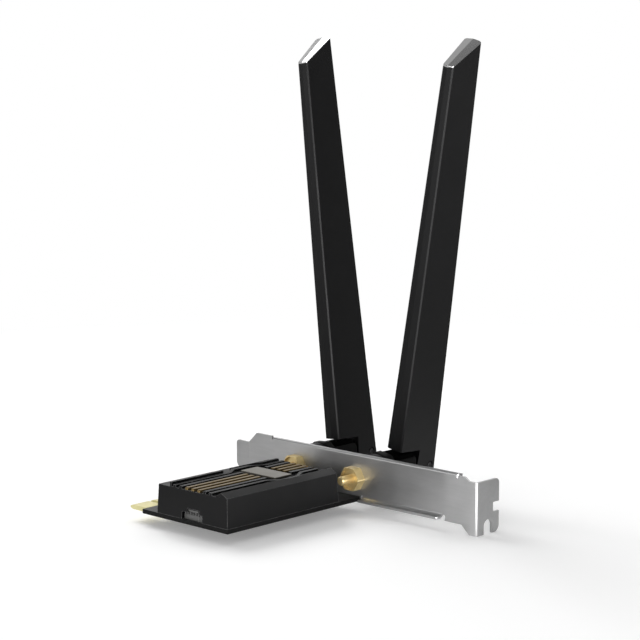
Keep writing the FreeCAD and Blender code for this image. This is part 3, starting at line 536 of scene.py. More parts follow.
class Sheet:
    """One node tree with short calls to add and join its nodes."""

    def __init__(self, tree: bpy.types.NodeTree) -> None:
        """Keeps the tree to work on."""
        self.tree = tree

    def add(self, kind: str, **settings: object) -> bpy.types.Node:
        """Adds a node and sets its properties.

        Args:
            kind: the node's type.
            settings: value of each property.

        Returns:
            The node.
        """
        node = self.tree.nodes.new(kind)
        for key, value in settings.items():
            setattr(node, key, value)
        return node

    def feed(self, socket: bpy.types.NodeSocket, value: Value) -> None:
        """Joins a socket to another, or sets its own value.

        Args:
            socket: the input.
            value: what it is fed with.
        """
        if isinstance(value, bpy.types.NodeSocket):
            self.tree.links.new(value, socket)
        else:
            socket.default_value = value

    def math(
        self, operation: str, first: Value, second: Value = 0.0, clamp: bool = False
    ) -> bpy.types.NodeSocket:
        """Adds a Math node.

        Args:
            operation: what it works out.
            first: its first number.
            second: its second number.
            clamp: whether the result is held between 0 and 1.

        Returns:
            The socket with the result.
        """
        node = self.add("ShaderNodeMath", operation=operation, use_clamp=clamp)
        self.feed(node.inputs[0], first)
        self.feed(node.inputs[1], second)
        return node.outputs[0]

    def vector_math(self, operation: str, first: Value, second: Value = (0.0, 0.0, 0.0)) -> bpy.types.Node:
        """Adds a Vector Math node.

        Args:
            operation: what it works out.
            first: its first vector.
            second: its second vector.

        Returns:
            The node.
        """
        node = self.add("ShaderNodeVectorMath", operation=operation)
        self.feed(node.inputs[0], first)
        self.feed(node.inputs[1], second)
        return node

    def remap(
        self, value: Value, low: float, high: float, to_low: float = 0.0, to_high: float = 1.0
    ) -> bpy.types.NodeSocket:
        """Adds a linear change of range, held between its ends.

        Args:
            value: the number to change.
            low: the value that becomes `to_low`.
            high: the value that becomes `to_high`.
            to_low: result at `low` and before it.
            to_high: result at `high` and past it.

        Returns:
            The socket with the result.
        """
        node = self.add("ShaderNodeMapRange")
        self.feed(node.inputs["Value"], value)
        for key, number in zip(("From Min", "From Max", "To Min", "To Max"), (low, high, to_low, to_high)):
            node.inputs[key].default_value = number
        return node.outputs["Result"]

    def mix(self, mask: Value, first: Value, second: Value) -> bpy.types.NodeSocket:
        """Adds a mix of two colours.

        Args:
            mask: share of the second colour.
            first: the colour where the mask is 0.
            second: the colour where it is 1.

        Returns:
            The socket with the colour.
        """
        node = self.add("ShaderNodeMix", data_type="RGBA")
        self.feed(node.inputs["Factor"], mask)
        self.feed(node.inputs["A"], first)
        self.feed(node.inputs["B"], second)
        return node.outputs["Result"]

    def noise(
        self, vector: Value, scale: Value, detail: float = 3.0, roughness: float = 0.55
    ) -> bpy.types.NodeSocket:
        """Adds a noise texture.

        Args:
            vector: where it is read.
            scale: how fine it is.
            detail: how many finer layers it has.
            roughness: how strong they are.

        Returns:
            The socket with its value.
        """
        node = self.add("ShaderNodeTexNoise")
        self.feed(node.inputs["Vector"], vector)
        self.feed(node.inputs["Scale"], scale)
        node.inputs["Detail"].default_value = detail
        node.inputs["Roughness"].default_value = roughness
        return node.outputs["Fac"]

    def object_coordinates(self) -> bpy.types.NodeSocket:
        """The piece's own coordinates, in metres."""
        return self.add("ShaderNodeTexCoord").outputs["Object"]

    def parts_of(self, vector: Value) -> bpy.types.Node:
        """Splits a vector into its three numbers.

        Args:
            vector: the vector.

        Returns:
            The node, with outputs X, Y and Z.
        """
        node = self.add("ShaderNodeSeparateXYZ")
        self.feed(node.inputs[0], vector)
        return node

    def scaled(self, vector: Value, gain: Value) -> bpy.types.NodeSocket:
        """Adds a vector's product with a number.

        Args:
            vector: the vector or colour.
            gain: the number.

        Returns:
            The socket with the result.
        """
        node = self.add("ShaderNodeVectorMath", operation="SCALE")
        self.feed(node.inputs[0], vector)
        self.feed(node.inputs["Scale"], gain)
        return node.outputs[0]

    def relief(self, height: Value, strength: float, distance: float) -> bpy.types.NodeSocket:
        """Adds a bump.

        Args:
            height: the height over the surface.
            strength: share of the bump that is used.
            distance: how high a height of 1 stands, in metres.

        Returns:
            The socket with the normal.
        """
        node = self.add("ShaderNodeBump")
        node.inputs["Strength"].default_value = strength
        node.inputs["Distance"].default_value = distance
        self.feed(node.inputs["Height"], height)
        return node.outputs["Normal"]

    def group(self, shared: bpy.types.NodeTree, **values: Value) -> bpy.types.Node:
        """Adds a shared group.

        Args:
            shared: the group.
            values: what each of its inputs is fed with, with _ for a space in its name.

        Returns:
            The node.
        """
        node = self.add("ShaderNodeGroup", node_tree=shared)
        for key, value in values.items():
            self.feed(node.inputs[key.replace("_", " ")], value)
        return node


def shared_group(name: str, inputs: tuple, outputs: tuple) -> tuple:
    """Starts a shader node group.

    Args:
        name: the group's name.
        inputs: (socket name, kind, default) for each input.
        outputs: (socket name, kind) for each output.

    Returns:
        (tree, sheet, group input node, group output node).
    """
    tree = bpy.data.node_groups.new(name, "ShaderNodeTree")
    for label, kind, default in inputs:
        socket = tree.interface.new_socket(label, in_out="INPUT", socket_type=kind)
        socket.default_value = default
    for label, kind in outputs:
        tree.interface.new_socket(label, in_out="OUTPUT", socket_type=kind)
    sheet = Sheet(tree)
    return tree, sheet, sheet.add("NodeGroupInput"), sheet.add("NodeGroupOutput")


NUMBER = "NodeSocketFloat"
VECTOR = "NodeSocketVector"
COLOUR = "NodeSocketColor"


def build_grain() -> bpy.types.NodeTree:
    """Fine surface grain: a stretched noise and a slow cloudy one.

    Returns:
        The group, with outputs Height and Cloud.
    """
    tree, sheet, into, out = shared_group(
        "fine_grain",
        (
            ("Vector", VECTOR, (0, 0, 0)),
            ("Stretch", VECTOR, (1, 1, 1)),
            ("Scale", NUMBER, 900.0),
            ("Cloud Scale", NUMBER, 60.0),
        ),
        (("Height", NUMBER), ("Cloud", NUMBER)),
    )
    stretched = sheet.vector_math("MULTIPLY", into.outputs["Vector"], into.outputs["Stretch"]).outputs[0]
    sheet.feed(out.inputs["Height"], sheet.noise(stretched, into.outputs["Scale"], detail=4.0, roughness=0.6))
    cloud = sheet.noise(into.outputs["Vector"], into.outputs["Cloud Scale"], detail=3.0, roughness=0.5)
    sheet.feed(out.inputs["Cloud"], cloud)
    return tree


def build_wear_and_highlight() -> bpy.types.NodeTree:
    """Mask of edges made bright, partly as rubbed metal and paint and partly as a painted highlight along them, broken
    up by noise.

    An edge is where the dot product of the rounded normal and the flat one falls under 1.

    Returns:
        The group, with output Mask.
    """
    tree, sheet, into, out = shared_group(
        "edge_wear_and_highlight",
        (
            ("Vector", VECTOR, (0, 0, 0)),
            ("Radius", NUMBER, 0.0002),
            ("Amount", NUMBER, 0.5),
        ),
        (("Mask", NUMBER),),
    )
    bevel = sheet.add("ShaderNodeBevel", samples=4)
    sheet.feed(bevel.inputs["Radius"], into.outputs["Radius"])
    flat = sheet.add("ShaderNodeNewGeometry").outputs["True Normal"]
    bend = sheet.vector_math("DOT_PRODUCT", bevel.outputs[0], flat).outputs["Value"]
    edge = sheet.remap(bend, low=0.99, high=0.80)
    patches = sheet.noise(into.outputs["Vector"], scale=1400.0, detail=3.0)
    broken = sheet.remap(patches, low=0.35, high=0.65, to_low=0.35)
    scaled = sheet.math("MULTIPLY", edge, broken)
    sheet.feed(out.inputs["Mask"], sheet.math("MULTIPLY", scaled, into.outputs["Amount"], True))
    return tree


def build_dust() -> bpy.types.NodeTree:
    """Sparse fine specks in patches, thickest on faces that look up.

    Returns:
        The group, with output Mask.
    """
    tree, sheet, into, out = shared_group(
        "settled_dust",
        (("Vector", VECTOR, (0, 0, 0)), ("Amount", NUMBER, 0.3)),
        (("Mask", NUMBER),),
    )
    cells = sheet.add("ShaderNodeTexVoronoi", feature="F1")
    sheet.feed(cells.inputs["Vector"], into.outputs["Vector"])
    cells.inputs["Scale"].default_value = 700.0
    speck = sheet.remap(cells.outputs["Distance"], low=0.10, high=0.04)
    patches = sheet.noise(into.outputs["Vector"], scale=45.0, detail=2.0)
    patch = sheet.remap(patches, low=0.5, high=0.75)
    up = sheet.parts_of(sheet.add("ShaderNodeNewGeometry").outputs["Normal"])
    facing = sheet.remap(up.outputs["Z"], low=0.3, high=0.9, to_low=0.15)
    mask = sheet.math("MULTIPLY", sheet.math("MULTIPLY", speck, patch), facing)
    sheet.feed(out.inputs["Mask"], sheet.math("MULTIPLY", mask, into.outputs["Amount"], True))
    return tree


@dataclass
class Effects:
    """The shader groups that several finishes share."""

    grain: bpy.types.NodeTree = field(default_factory=build_grain)
    wear_and_highlight: bpy.types.NodeTree = field(default_factory=build_wear_and_highlight)
    dust: bpy.types.NodeTree = field(default_factory=build_dust)


EFFECTS = Effects()

CLOUD_SCALE = 70.0
CLOUD_RANGE = (0.3, 0.7)
GRAIN_RANGE = (0.25, 0.75)
GRAIN_STRENGTH = 0.6
# Reach of the lightened edges, which are partly rubbed and partly a painted highlight.
WEAR_AND_HIGHLIGHT_RADIUS = 0.00022
DUST_COLOUR = (0.55, 0.53, 0.50, 1.0)


@dataclass(frozen=True)
class Finish:
    """A surface finish with grain, slow tone changes, bright edges that are partly rubbed and partly a painted
    highlight, and a little dust.
    """

    name: str
    colour: tuple
    metallic: float = 0.0
    roughness: float = 0.4
    spread: float = 0.06
    grain_scale: float = 2200.0
    stretch: tuple = (1.0, 1.0, 1.0)
    grain_depth: float = 0.000004
    grain_tone: float = 0.06
    cloud_tone: float = 0.05
    wear_and_highlight: float = 0.0
    wear_and_highlight_colour: tuple = (0.5, 0.5, 0.5)
    dust: float = 0.0
    specular: float = 0.5
    coat: float = 0.0
    coat_roughness: float = 0.1

    def shader(self) -> tuple:
        """Starts the material.

        Returns:
            (material, sheet, principled node, object coordinates, grain node).
        """
        material = bpy.data.materials.new(self.name)
        material.use_nodes = True
        sheet = Sheet(material.node_tree)
        principled = material.node_tree.nodes["Principled BSDF"]
        where = sheet.object_coordinates()
        grain = sheet.group(
            EFFECTS.grain, Vector=where, Stretch=self.stretch, Scale=self.grain_scale, Cloud_Scale=CLOUD_SCALE
        )
        return material, sheet, principled, where, grain

    def tone(self, sheet: Sheet, grain: bpy.types.Node) -> bpy.types.NodeSocket:
        """The finish's colour, lighter and darker with the grain and the slow cloud.

        Args:
            sheet: the material's tree.
            grain: the grain group.

        Returns:
            The socket with the colour.
        """
        fine = sheet.remap(grain.outputs["Height"], *GRAIN_RANGE, 1 - self.grain_tone, 1 + self.grain_tone)
        slow = sheet.remap(grain.outputs["Cloud"], *CLOUD_RANGE, 1 - self.cloud_tone, 1 + self.cloud_tone)
        return sheet.scaled(self.colour, sheet.math("MULTIPLY", fine, slow))

    def finish(
        self,
        sheet: Sheet,
        principled: bpy.types.Node,
        where: bpy.types.NodeSocket,
        grain: bpy.types.Node,
        colour: bpy.types.NodeSocket,
    ) -> None:
        """Joins colour, roughness, bump, the rubbed and painted-highlight edges, and dust to the shader.

        Args:
            sheet: the material's tree.
            principled: the shader.
            where: object coordinates.
            grain: the grain group.
            colour: the colour socket before wear and dust.
        """
        rough = sheet.remap(
            grain.outputs["Cloud"], *CLOUD_RANGE, self.roughness - self.spread, self.roughness + self.spread
        )
        # Edges made lighter: partly rubbed, partly a painted highlight along them.
        if self.wear_and_highlight > 0:
            mask = sheet.group(EFFECTS.wear_and_highlight, Vector=where, Radius=WEAR_AND_HIGHLIGHT_RADIUS, Amount=self.wear_and_highlight).outputs["Mask"]
            colour = sheet.mix(mask, colour, (*self.wear_and_highlight_colour, 1.0))
        if self.dust > 0:
            mask = sheet.group(EFFECTS.dust, Vector=where, Amount=self.dust).outputs["Mask"]
            colour = sheet.mix(mask, colour, DUST_COLOUR)
        sheet.feed(principled.inputs["Base Color"], colour)
        sheet.feed(principled.inputs["Roughness"], rough)
        principled.inputs["Metallic"].default_value = self.metallic
        principled.inputs["Specular IOR Level"].default_value = self.specular
        principled.inputs["Coat Weight"].default_value = self.coat
        principled.inputs["Coat Roughness"].default_value = self.coat_roughness
        normal = sheet.relief(grain.outputs["Height"], GRAIN_STRENGTH, self.grain_depth)
        sheet.feed(principled.inputs["Normal"], normal)

    def material(self) -> bpy.types.Material:
        """Builds the finished material.

        Returns:
            The material.
        """
        material, sheet, principled, where, grain = self.shader()
        self.finish(sheet, principled, where, grain, self.tone(sheet, grain))
        return material


@dataclass(frozen=True)
class BoardFinish(Finish):
    """Dark lacquered circuit board with faint tracks and vias, and a pale gilded edge tongue."""

    laminate: tuple = (0.005, 0.005, 0.005)
    gilt: tuple = (0.74, 0.69, 0.38)
    gilt_end: float = -1.0
    gilt_metallic: float = 0.5
    region_scale: float = 130.0
    track_pitch: float = 0.0009
    track_edge: tuple = (0.42, 0.50)
    plain_share: float = 0.45
    via_scale: float = 420.0
    via_edge: tuple = (0.13, 0.10)
    raised_gain: tuple = (2.3, 2.4, 2.2)
    weave_scale: float = 1500.0
    weave_stretch: tuple = (1.0, 1.0, 9.0)
    weave_gain: tuple = (0.7, 1.25)
    cut_range: tuple = (0.75, 0.55)
    cut_roughness: float = 0.6
    relief_strength: float = 0.8
    relief_depth: float = 0.00003

    def raised(self, sheet: Sheet, where: bpy.types.NodeSocket, place: bpy.types.Node) -> bpy.types.NodeSocket:
        """Mask of the tracks and vias under the lacquer.

        Square cells of a Voronoi texture pick the way that their tracks run, and whether they
        have any. A track shows where the distance across it, folded at the pitch, is near the
        pitch's half; a via shows near the middle of each cell of a finer texture.

        Args:
            sheet: the material's tree.
            where: object coordinates.
            place: the same, split into X, Y and Z.

        Returns:
            The socket with the mask.
        """
        region = sheet.add("ShaderNodeTexVoronoi", distance="CHEBYCHEV")
        sheet.feed(region.inputs["Vector"], where)
        region.inputs["Scale"].default_value = self.region_scale
        pick = sheet.add("ShaderNodeSeparateColor")
        sheet.feed(pick.inputs[0], region.outputs["Color"])
        along_x = sheet.math("GREATER_THAN", pick.outputs["Red"], 0.5)
        run = sheet.add("ShaderNodeMix", data_type="FLOAT")
        sheet.feed(run.inputs["Factor"], along_x)
        sheet.feed(run.inputs["A"], place.outputs["X"])
        sheet.feed(run.inputs["B"], place.outputs["Y"])
        wave = sheet.math("PINGPONG", run.outputs["Result"], self.track_pitch)
        track = sheet.remap(wave, *(self.track_pitch * share for share in self.track_edge))
        tracked = sheet.math("GREATER_THAN", pick.outputs["Green"], self.plain_share)
        track = sheet.math("MULTIPLY", track, tracked)
        holes = sheet.add("ShaderNodeTexVoronoi")
        sheet.feed(holes.inputs["Vector"], where)
        holes.inputs["Scale"].default_value = self.via_scale
        via = sheet.remap(holes.outputs["Distance"], *self.via_edge)
        return sheet.math("MAXIMUM", track, via)

    def material(self) -> bpy.types.Material:
        """Builds the board's material.

        Returns:
            The material, whose cut edges show the laminate and whose tongue is gilded.
        """
        material, sheet, principled, where, grain = self.shader()
        place = sheet.parts_of(where)
        raised = self.raised(sheet, where, place)
        dark = self.tone(sheet, grain)
        light = (*(part * gain for part, gain in zip(self.colour, self.raised_gain)), 1.0)
        lacquer = sheet.mix(raised, dark, light)
        normal = sheet.parts_of(sheet.add("ShaderNodeNewGeometry").outputs["Normal"])
        cut = sheet.remap(sheet.math("ABSOLUTE", normal.outputs["Z"]), *self.cut_range)
        fibre = sheet.vector_math("MULTIPLY", where, self.weave_stretch).outputs[0]
        weave = sheet.remap(sheet.noise(fibre, self.weave_scale), *CLOUD_RANGE, *self.weave_gain)
        plain = sheet.mix(cut, lacquer, sheet.scaled(self.laminate, weave))
        gilded = sheet.math("LESS_THAN", place.outputs["X"], self.gilt_end)
        self.finish(sheet, principled, where, grain, sheet.mix(gilded, plain, (*self.gilt, 1.0)))
        sheet.feed(principled.inputs["Metallic"], sheet.math("MULTIPLY", gilded, self.gilt_metallic))
        sheet.feed(principled.inputs["Roughness"], sheet.remap(cut, 0.0, 1.0, self.roughness, self.cut_roughness))
        sheet.feed(principled.inputs["Normal"], sheet.relief(raised, self.relief_strength, self.relief_depth))
        return material


# A finish's edge setting lightens its edges: partly rubbed, partly a painted highlight.
FINISHES = {finish.name: finish for finish in (
    Finish(
        "bracket_steel", (0.45, 0.45, 0.452), metallic=0.82, roughness=0.34, spread=0.05, grain_scale=900.0,
        stretch=(0.12, 1.0, 1.0), grain_depth=0.000006, grain_tone=0.05, cloud_tone=0.04, wear_and_highlight=0.5,
        wear_and_highlight_colour=(0.75, 0.75, 0.75), dust=0.15,
    ),
    BoardFinish(
        "board_lacquer", (0.018, 0.018, 0.019), roughness=0.38, specular=0.14, dust=0.2, gilt_end=-0.03775,
    ),
    Finish(
        "contact_gold", (0.85, 0.78, 0.45), metallic=0.6, roughness=0.36, grain_scale=1800.0,
        stretch=(0.1, 1.0, 1.0), grain_tone=0.05,
    ),
    Finish(
        "sink_black", (0.002, 0.002, 0.0023), roughness=0.42, specular=0.18, grain_scale=3000.0,
        grain_depth=0.000006, wear_and_highlight=0.55, wear_and_highlight_colour=(0.50, 0.50, 0.50), dust=0.2,
    ),
    Finish(
        "fin_gold", (0.18, 0.125, 0.05), metallic=0.85, roughness=0.42, grain_scale=1400.0,
        stretch=(1.0, 0.08, 1.0), grain_tone=0.07, dust=0.06,
    ),
    Finish(
        "plate_silver", (0.18, 0.168, 0.145), metallic=0.8, roughness=0.40, grain_scale=1700.0,
        stretch=(0.05, 1.0, 1.0), grain_depth=0.000008, grain_tone=0.10, wear_and_highlight=0.4, wear_and_highlight_colour=(0.9, 0.9, 0.9),
    ),
    Finish("pad_grey", (0.20, 0.22, 0.26), roughness=0.8, grain_scale=1200.0, grain_tone=0.15),
    BoardFinish(
        "module_lacquer", (0.008, 0.045, 0.020), roughness=0.35, coat=0.4, laminate=(0.20, 0.20, 0.10)
    ),
    Finish(
        "tin_plate", (0.66, 0.66, 0.63), metallic=1.0, roughness=0.30, spread=0.10, grain_scale=600.0
    ),
    Finish("socket_black", (0.014, 0.014, 0.014), roughness=0.55, grain_scale=2600.0),
    Finish(
        "screw_steel", (0.58, 0.58, 0.57), metallic=1.0, roughness=0.32, grain_scale=2500.0, wear_and_highlight=0.4,
        wear_and_highlight_colour=(0.8, 0.8, 0.8),
    ),
    Finish("header_grey", (0.085, 0.085, 0.083), roughness=0.42, grain_scale=2600.0, grain_tone=0.1),
    Finish("ceramic_tan", (0.23, 0.15, 0.08), roughness=0.45, grain_scale=4000.0, grain_tone=0.15),
    Finish("chip_black", (0.016, 0.016, 0.017), roughness=0.5, grain_scale=5000.0, grain_tone=0.15),
    Finish(
        "jack_gold", (0.82, 0.64, 0.31), metallic=0.60, roughness=0.36, spread=0.05, grain_scale=1500.0,
        stretch=(1.0, 0.2, 1.0), grain_tone=0.04, wear_and_highlight=0.4, wear_and_highlight_colour=(0.95, 0.85, 0.6),
    ),
    Finish("insulator_white", (0.72, 0.71, 0.68), roughness=0.45, grain_scale=1500.0),
    Finish(
        "sleeve_black", (0.010, 0.010, 0.011), roughness=0.40, specular=0.05, grain_scale=2400.0,
        stretch=(1.0, 0.3, 1.0), wear_and_highlight=0.15, wear_and_highlight_colour=(0.1, 0.1, 0.1), dust=0.06,
    ),
    Finish(
        "knuckle_black", (0.013, 0.013, 0.013), roughness=0.48, specular=0.02, grain_scale=2600.0, wear_and_highlight=0.15,
        wear_and_highlight_colour=(0.1, 0.1, 0.1), dust=0.06,
    ),
    # Matte near-black that paints the shade in the gap under each blade.
    Finish("painted_shade_black", (0.0015, 0.0015, 0.0015), roughness=0.8, specular=0.01),
    Finish("pin_steel", (0.020, 0.020, 0.021), metallic=0.5, roughness=0.35, grain_scale=2500.0),
    Finish(
        "blade_black", (0.0036, 0.0036, 0.0039), roughness=0.38, spread=0.04, grain_scale=3400.0,
        grain_depth=0.000010, grain_tone=0.10, cloud_tone=0.08, specular=0.18, dust=0.12,
    ),
    Finish(
        "cap_silver", (0.47, 0.47, 0.47), metallic=1.0, roughness=0.13, spread=0.02, grain_scale=2600.0, grain_tone=0.04
    ),
    BoardFinish("aerial_laminate", (0.01, 0.05, 0.02), roughness=0.4),
)}


class Paint:
    """Makes each finish once, when it is first asked for."""

    def __init__(self) -> None:
        """Starts with nothing made."""
        self.made: dict[str, bpy.types.Material] = {}

    def get(self, name: str) -> bpy.types.Material:
        """Finds or makes the material of a finish.

        Args:
            name: the finish's name.

        Returns:
            The material.
        """
        if name not in self.made:
            self.made[name] = FINISHES[name].material()
        return self.made[name]

    def dress(self, piece: bpy.types.Object, name: str) -> bpy.types.Object:
        """Gives a piece one finish all over.

        Args:
            piece: the object.
            name: the finish's name.

        Returns:
            The same object.
        """
        piece.data.materials.clear()
        piece.data.materials.append(self.get(name))
        return piece


PAINT = Paint()


def fit(piece: bpy.types.Object, finish: str, body: str, nodes: tuple) -> bpy.types.Object:
    """Dresses a new piece and hands it to the body and the CAD nodes that it stands for.

    Args:
        piece: the new object.
        finish: name of its finish.
        body: CAD body that it moves with.
        nodes: CAD nodes that it replaces; may be empty.

    Returns:
        The piece.
    """
    PAINT.dress(piece, finish)
    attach(piece, body)
    if nodes:
        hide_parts(*nodes)
    LOG.info("%s: %d faces on %s", piece.name, len(piece.data.polygons), body)
    return piece


def fit_shape(
    name: str, shape: tuple, finish: str, body: str, nodes: tuple, sharp: float = CRISP_ANGLE
) -> None:
    """Makes a closed piece from a worked-out shape and fits it.

    Args:
        name: the piece's name.
        shape: (points, faces) in the bracket's frame in mm.
        finish: name of its finish.
        body: CAD body that it moves with.
        nodes: CAD nodes that it replaces; may be empty.
        sharp: edges that turn by more than this many degrees stay crisp.
    """
    fit(faced_out(mesh_from_arrays(name, *shape, sharp=sharp)), finish, body, nodes)


def fit_eased(name: str, node: str, width: float, finish: str) -> None:
    """Eases the edges of one of the card's own CAD nodes and fits the copy in its place.

    Args:
        name: the new piece's name.
        node: the CAD node.
        width: how far the rounding reaches from each edge, in mm.
        finish: name of its finish.
    """
    fit(eased_copy(name, node, width), finish, "card", (node,))


def keep_nodes(finishes: dict) -> None:
    """Dresses CAD nodes whose shape stays as it is.

    Args:
        finishes: name of the finish of each node.
    """
    for node, finish in finishes.items():
        PAINT.dress(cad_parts[node], finish)
        LOG.info("%s keeps its CAD shape", node)


# The camera stands where the photograph was taken


@dataclass(frozen=True)
class ViewPoint:
    """Position and direction of the view, in the bracket's frame in millimetres."""

    place: tuple = (390.01, -486.54, 163.19)
    azimuth: float = 43.676
    elevation: float = 7.999
    roll: float = -0.142
    lens: float = 103.84
    sensor: float = 36.0
    clip: tuple = (0.01, 20.0)

    def build(self) -> bpy.types.Object:
        """Makes the camera and sets it as the scene's own.

        Its axes are worked out from the direction back to the view, then turned by the roll.

        Returns:
            The camera.
        """
        a, e, r = (math.radians(v) for v in (self.azimuth, self.elevation, self.roll))
        back = np.array([math.sin(a) * math.cos(e), -math.cos(a) * math.cos(e), math.sin(e)])
        level = np.array([math.cos(a), math.sin(a), 0.0])
        upright = np.cross(back, level)
        right = level * math.cos(r) + upright * math.sin(r)
        up = upright * math.cos(r) - level * math.sin(r)
        matrix = np.eye(4)
        matrix[:3, 0] = right
        matrix[:3, 1] = up
        matrix[:3, 2] = back
        matrix[:3, 3] = DATUM.place(np.array(self.place)) * MM
        data = bpy.data.cameras.new("view")
        data.lens = self.lens
        data.sensor_width = self.sensor
        data.clip_start, data.clip_end = self.clip
        camera = bpy.data.objects.new("view", data)
        bpy.context.scene.collection.objects.link(camera)
        camera.matrix_world = Matrix(matrix.tolist())
        bpy.context.scene.camera = camera
        return camera


@dataclass(frozen=True)
class Lamp:
    """Rectangular soft lamp: place, aim and size in metres, power in watts."""

    name: str
    place: tuple
    aim: tuple
    size: tuple
    power: float
    in_reflections: bool = True

    def build(self) -> None:
        """Makes the lamp and turns it to its aim."""
        data = bpy.data.lights.new(self.name, "AREA")
        data.shape = "RECTANGLE"
        data.size, data.size_y = self.size
        data.energy = self.power
        lamp = bpy.data.objects.new(self.name, data)
        bpy.context.scene.collection.objects.link(lamp)
        lamp.location = self.place
        lamp.rotation_euler = (Vector(self.aim) - Vector(self.place)).to_track_quat("-Z", "Y").to_euler()
        lamp.visible_glossy = self.in_reflections


LAMPS = (
    Lamp("left_top_panel", (-1.00, 0.25, 1.02), (0.0, 0.0, 0.03), (0.8, 0.8), 12.0, in_reflections=False),
    Lamp("back_top_panel", (-0.25, 1.05, 1.20), (0.0, 0.0, 0.03), (1.2, 1.2), 5.5),
    Lamp("small_top_panel", (-0.672, 0.311, 0.750), (-0.04, 0.038, 0.17), (0.16, 0.16), 0.40),
    Lamp("front_panel", (-0.55, -1.05, 0.28), (0.03, 0.0, 0.05), (0.6, 0.4), 2.0),
    Lamp("view_side_panel", (0.58, -0.61, 0.10), (0.0, 0.0, 0.02), (0.70, 0.16), 4.0),
)


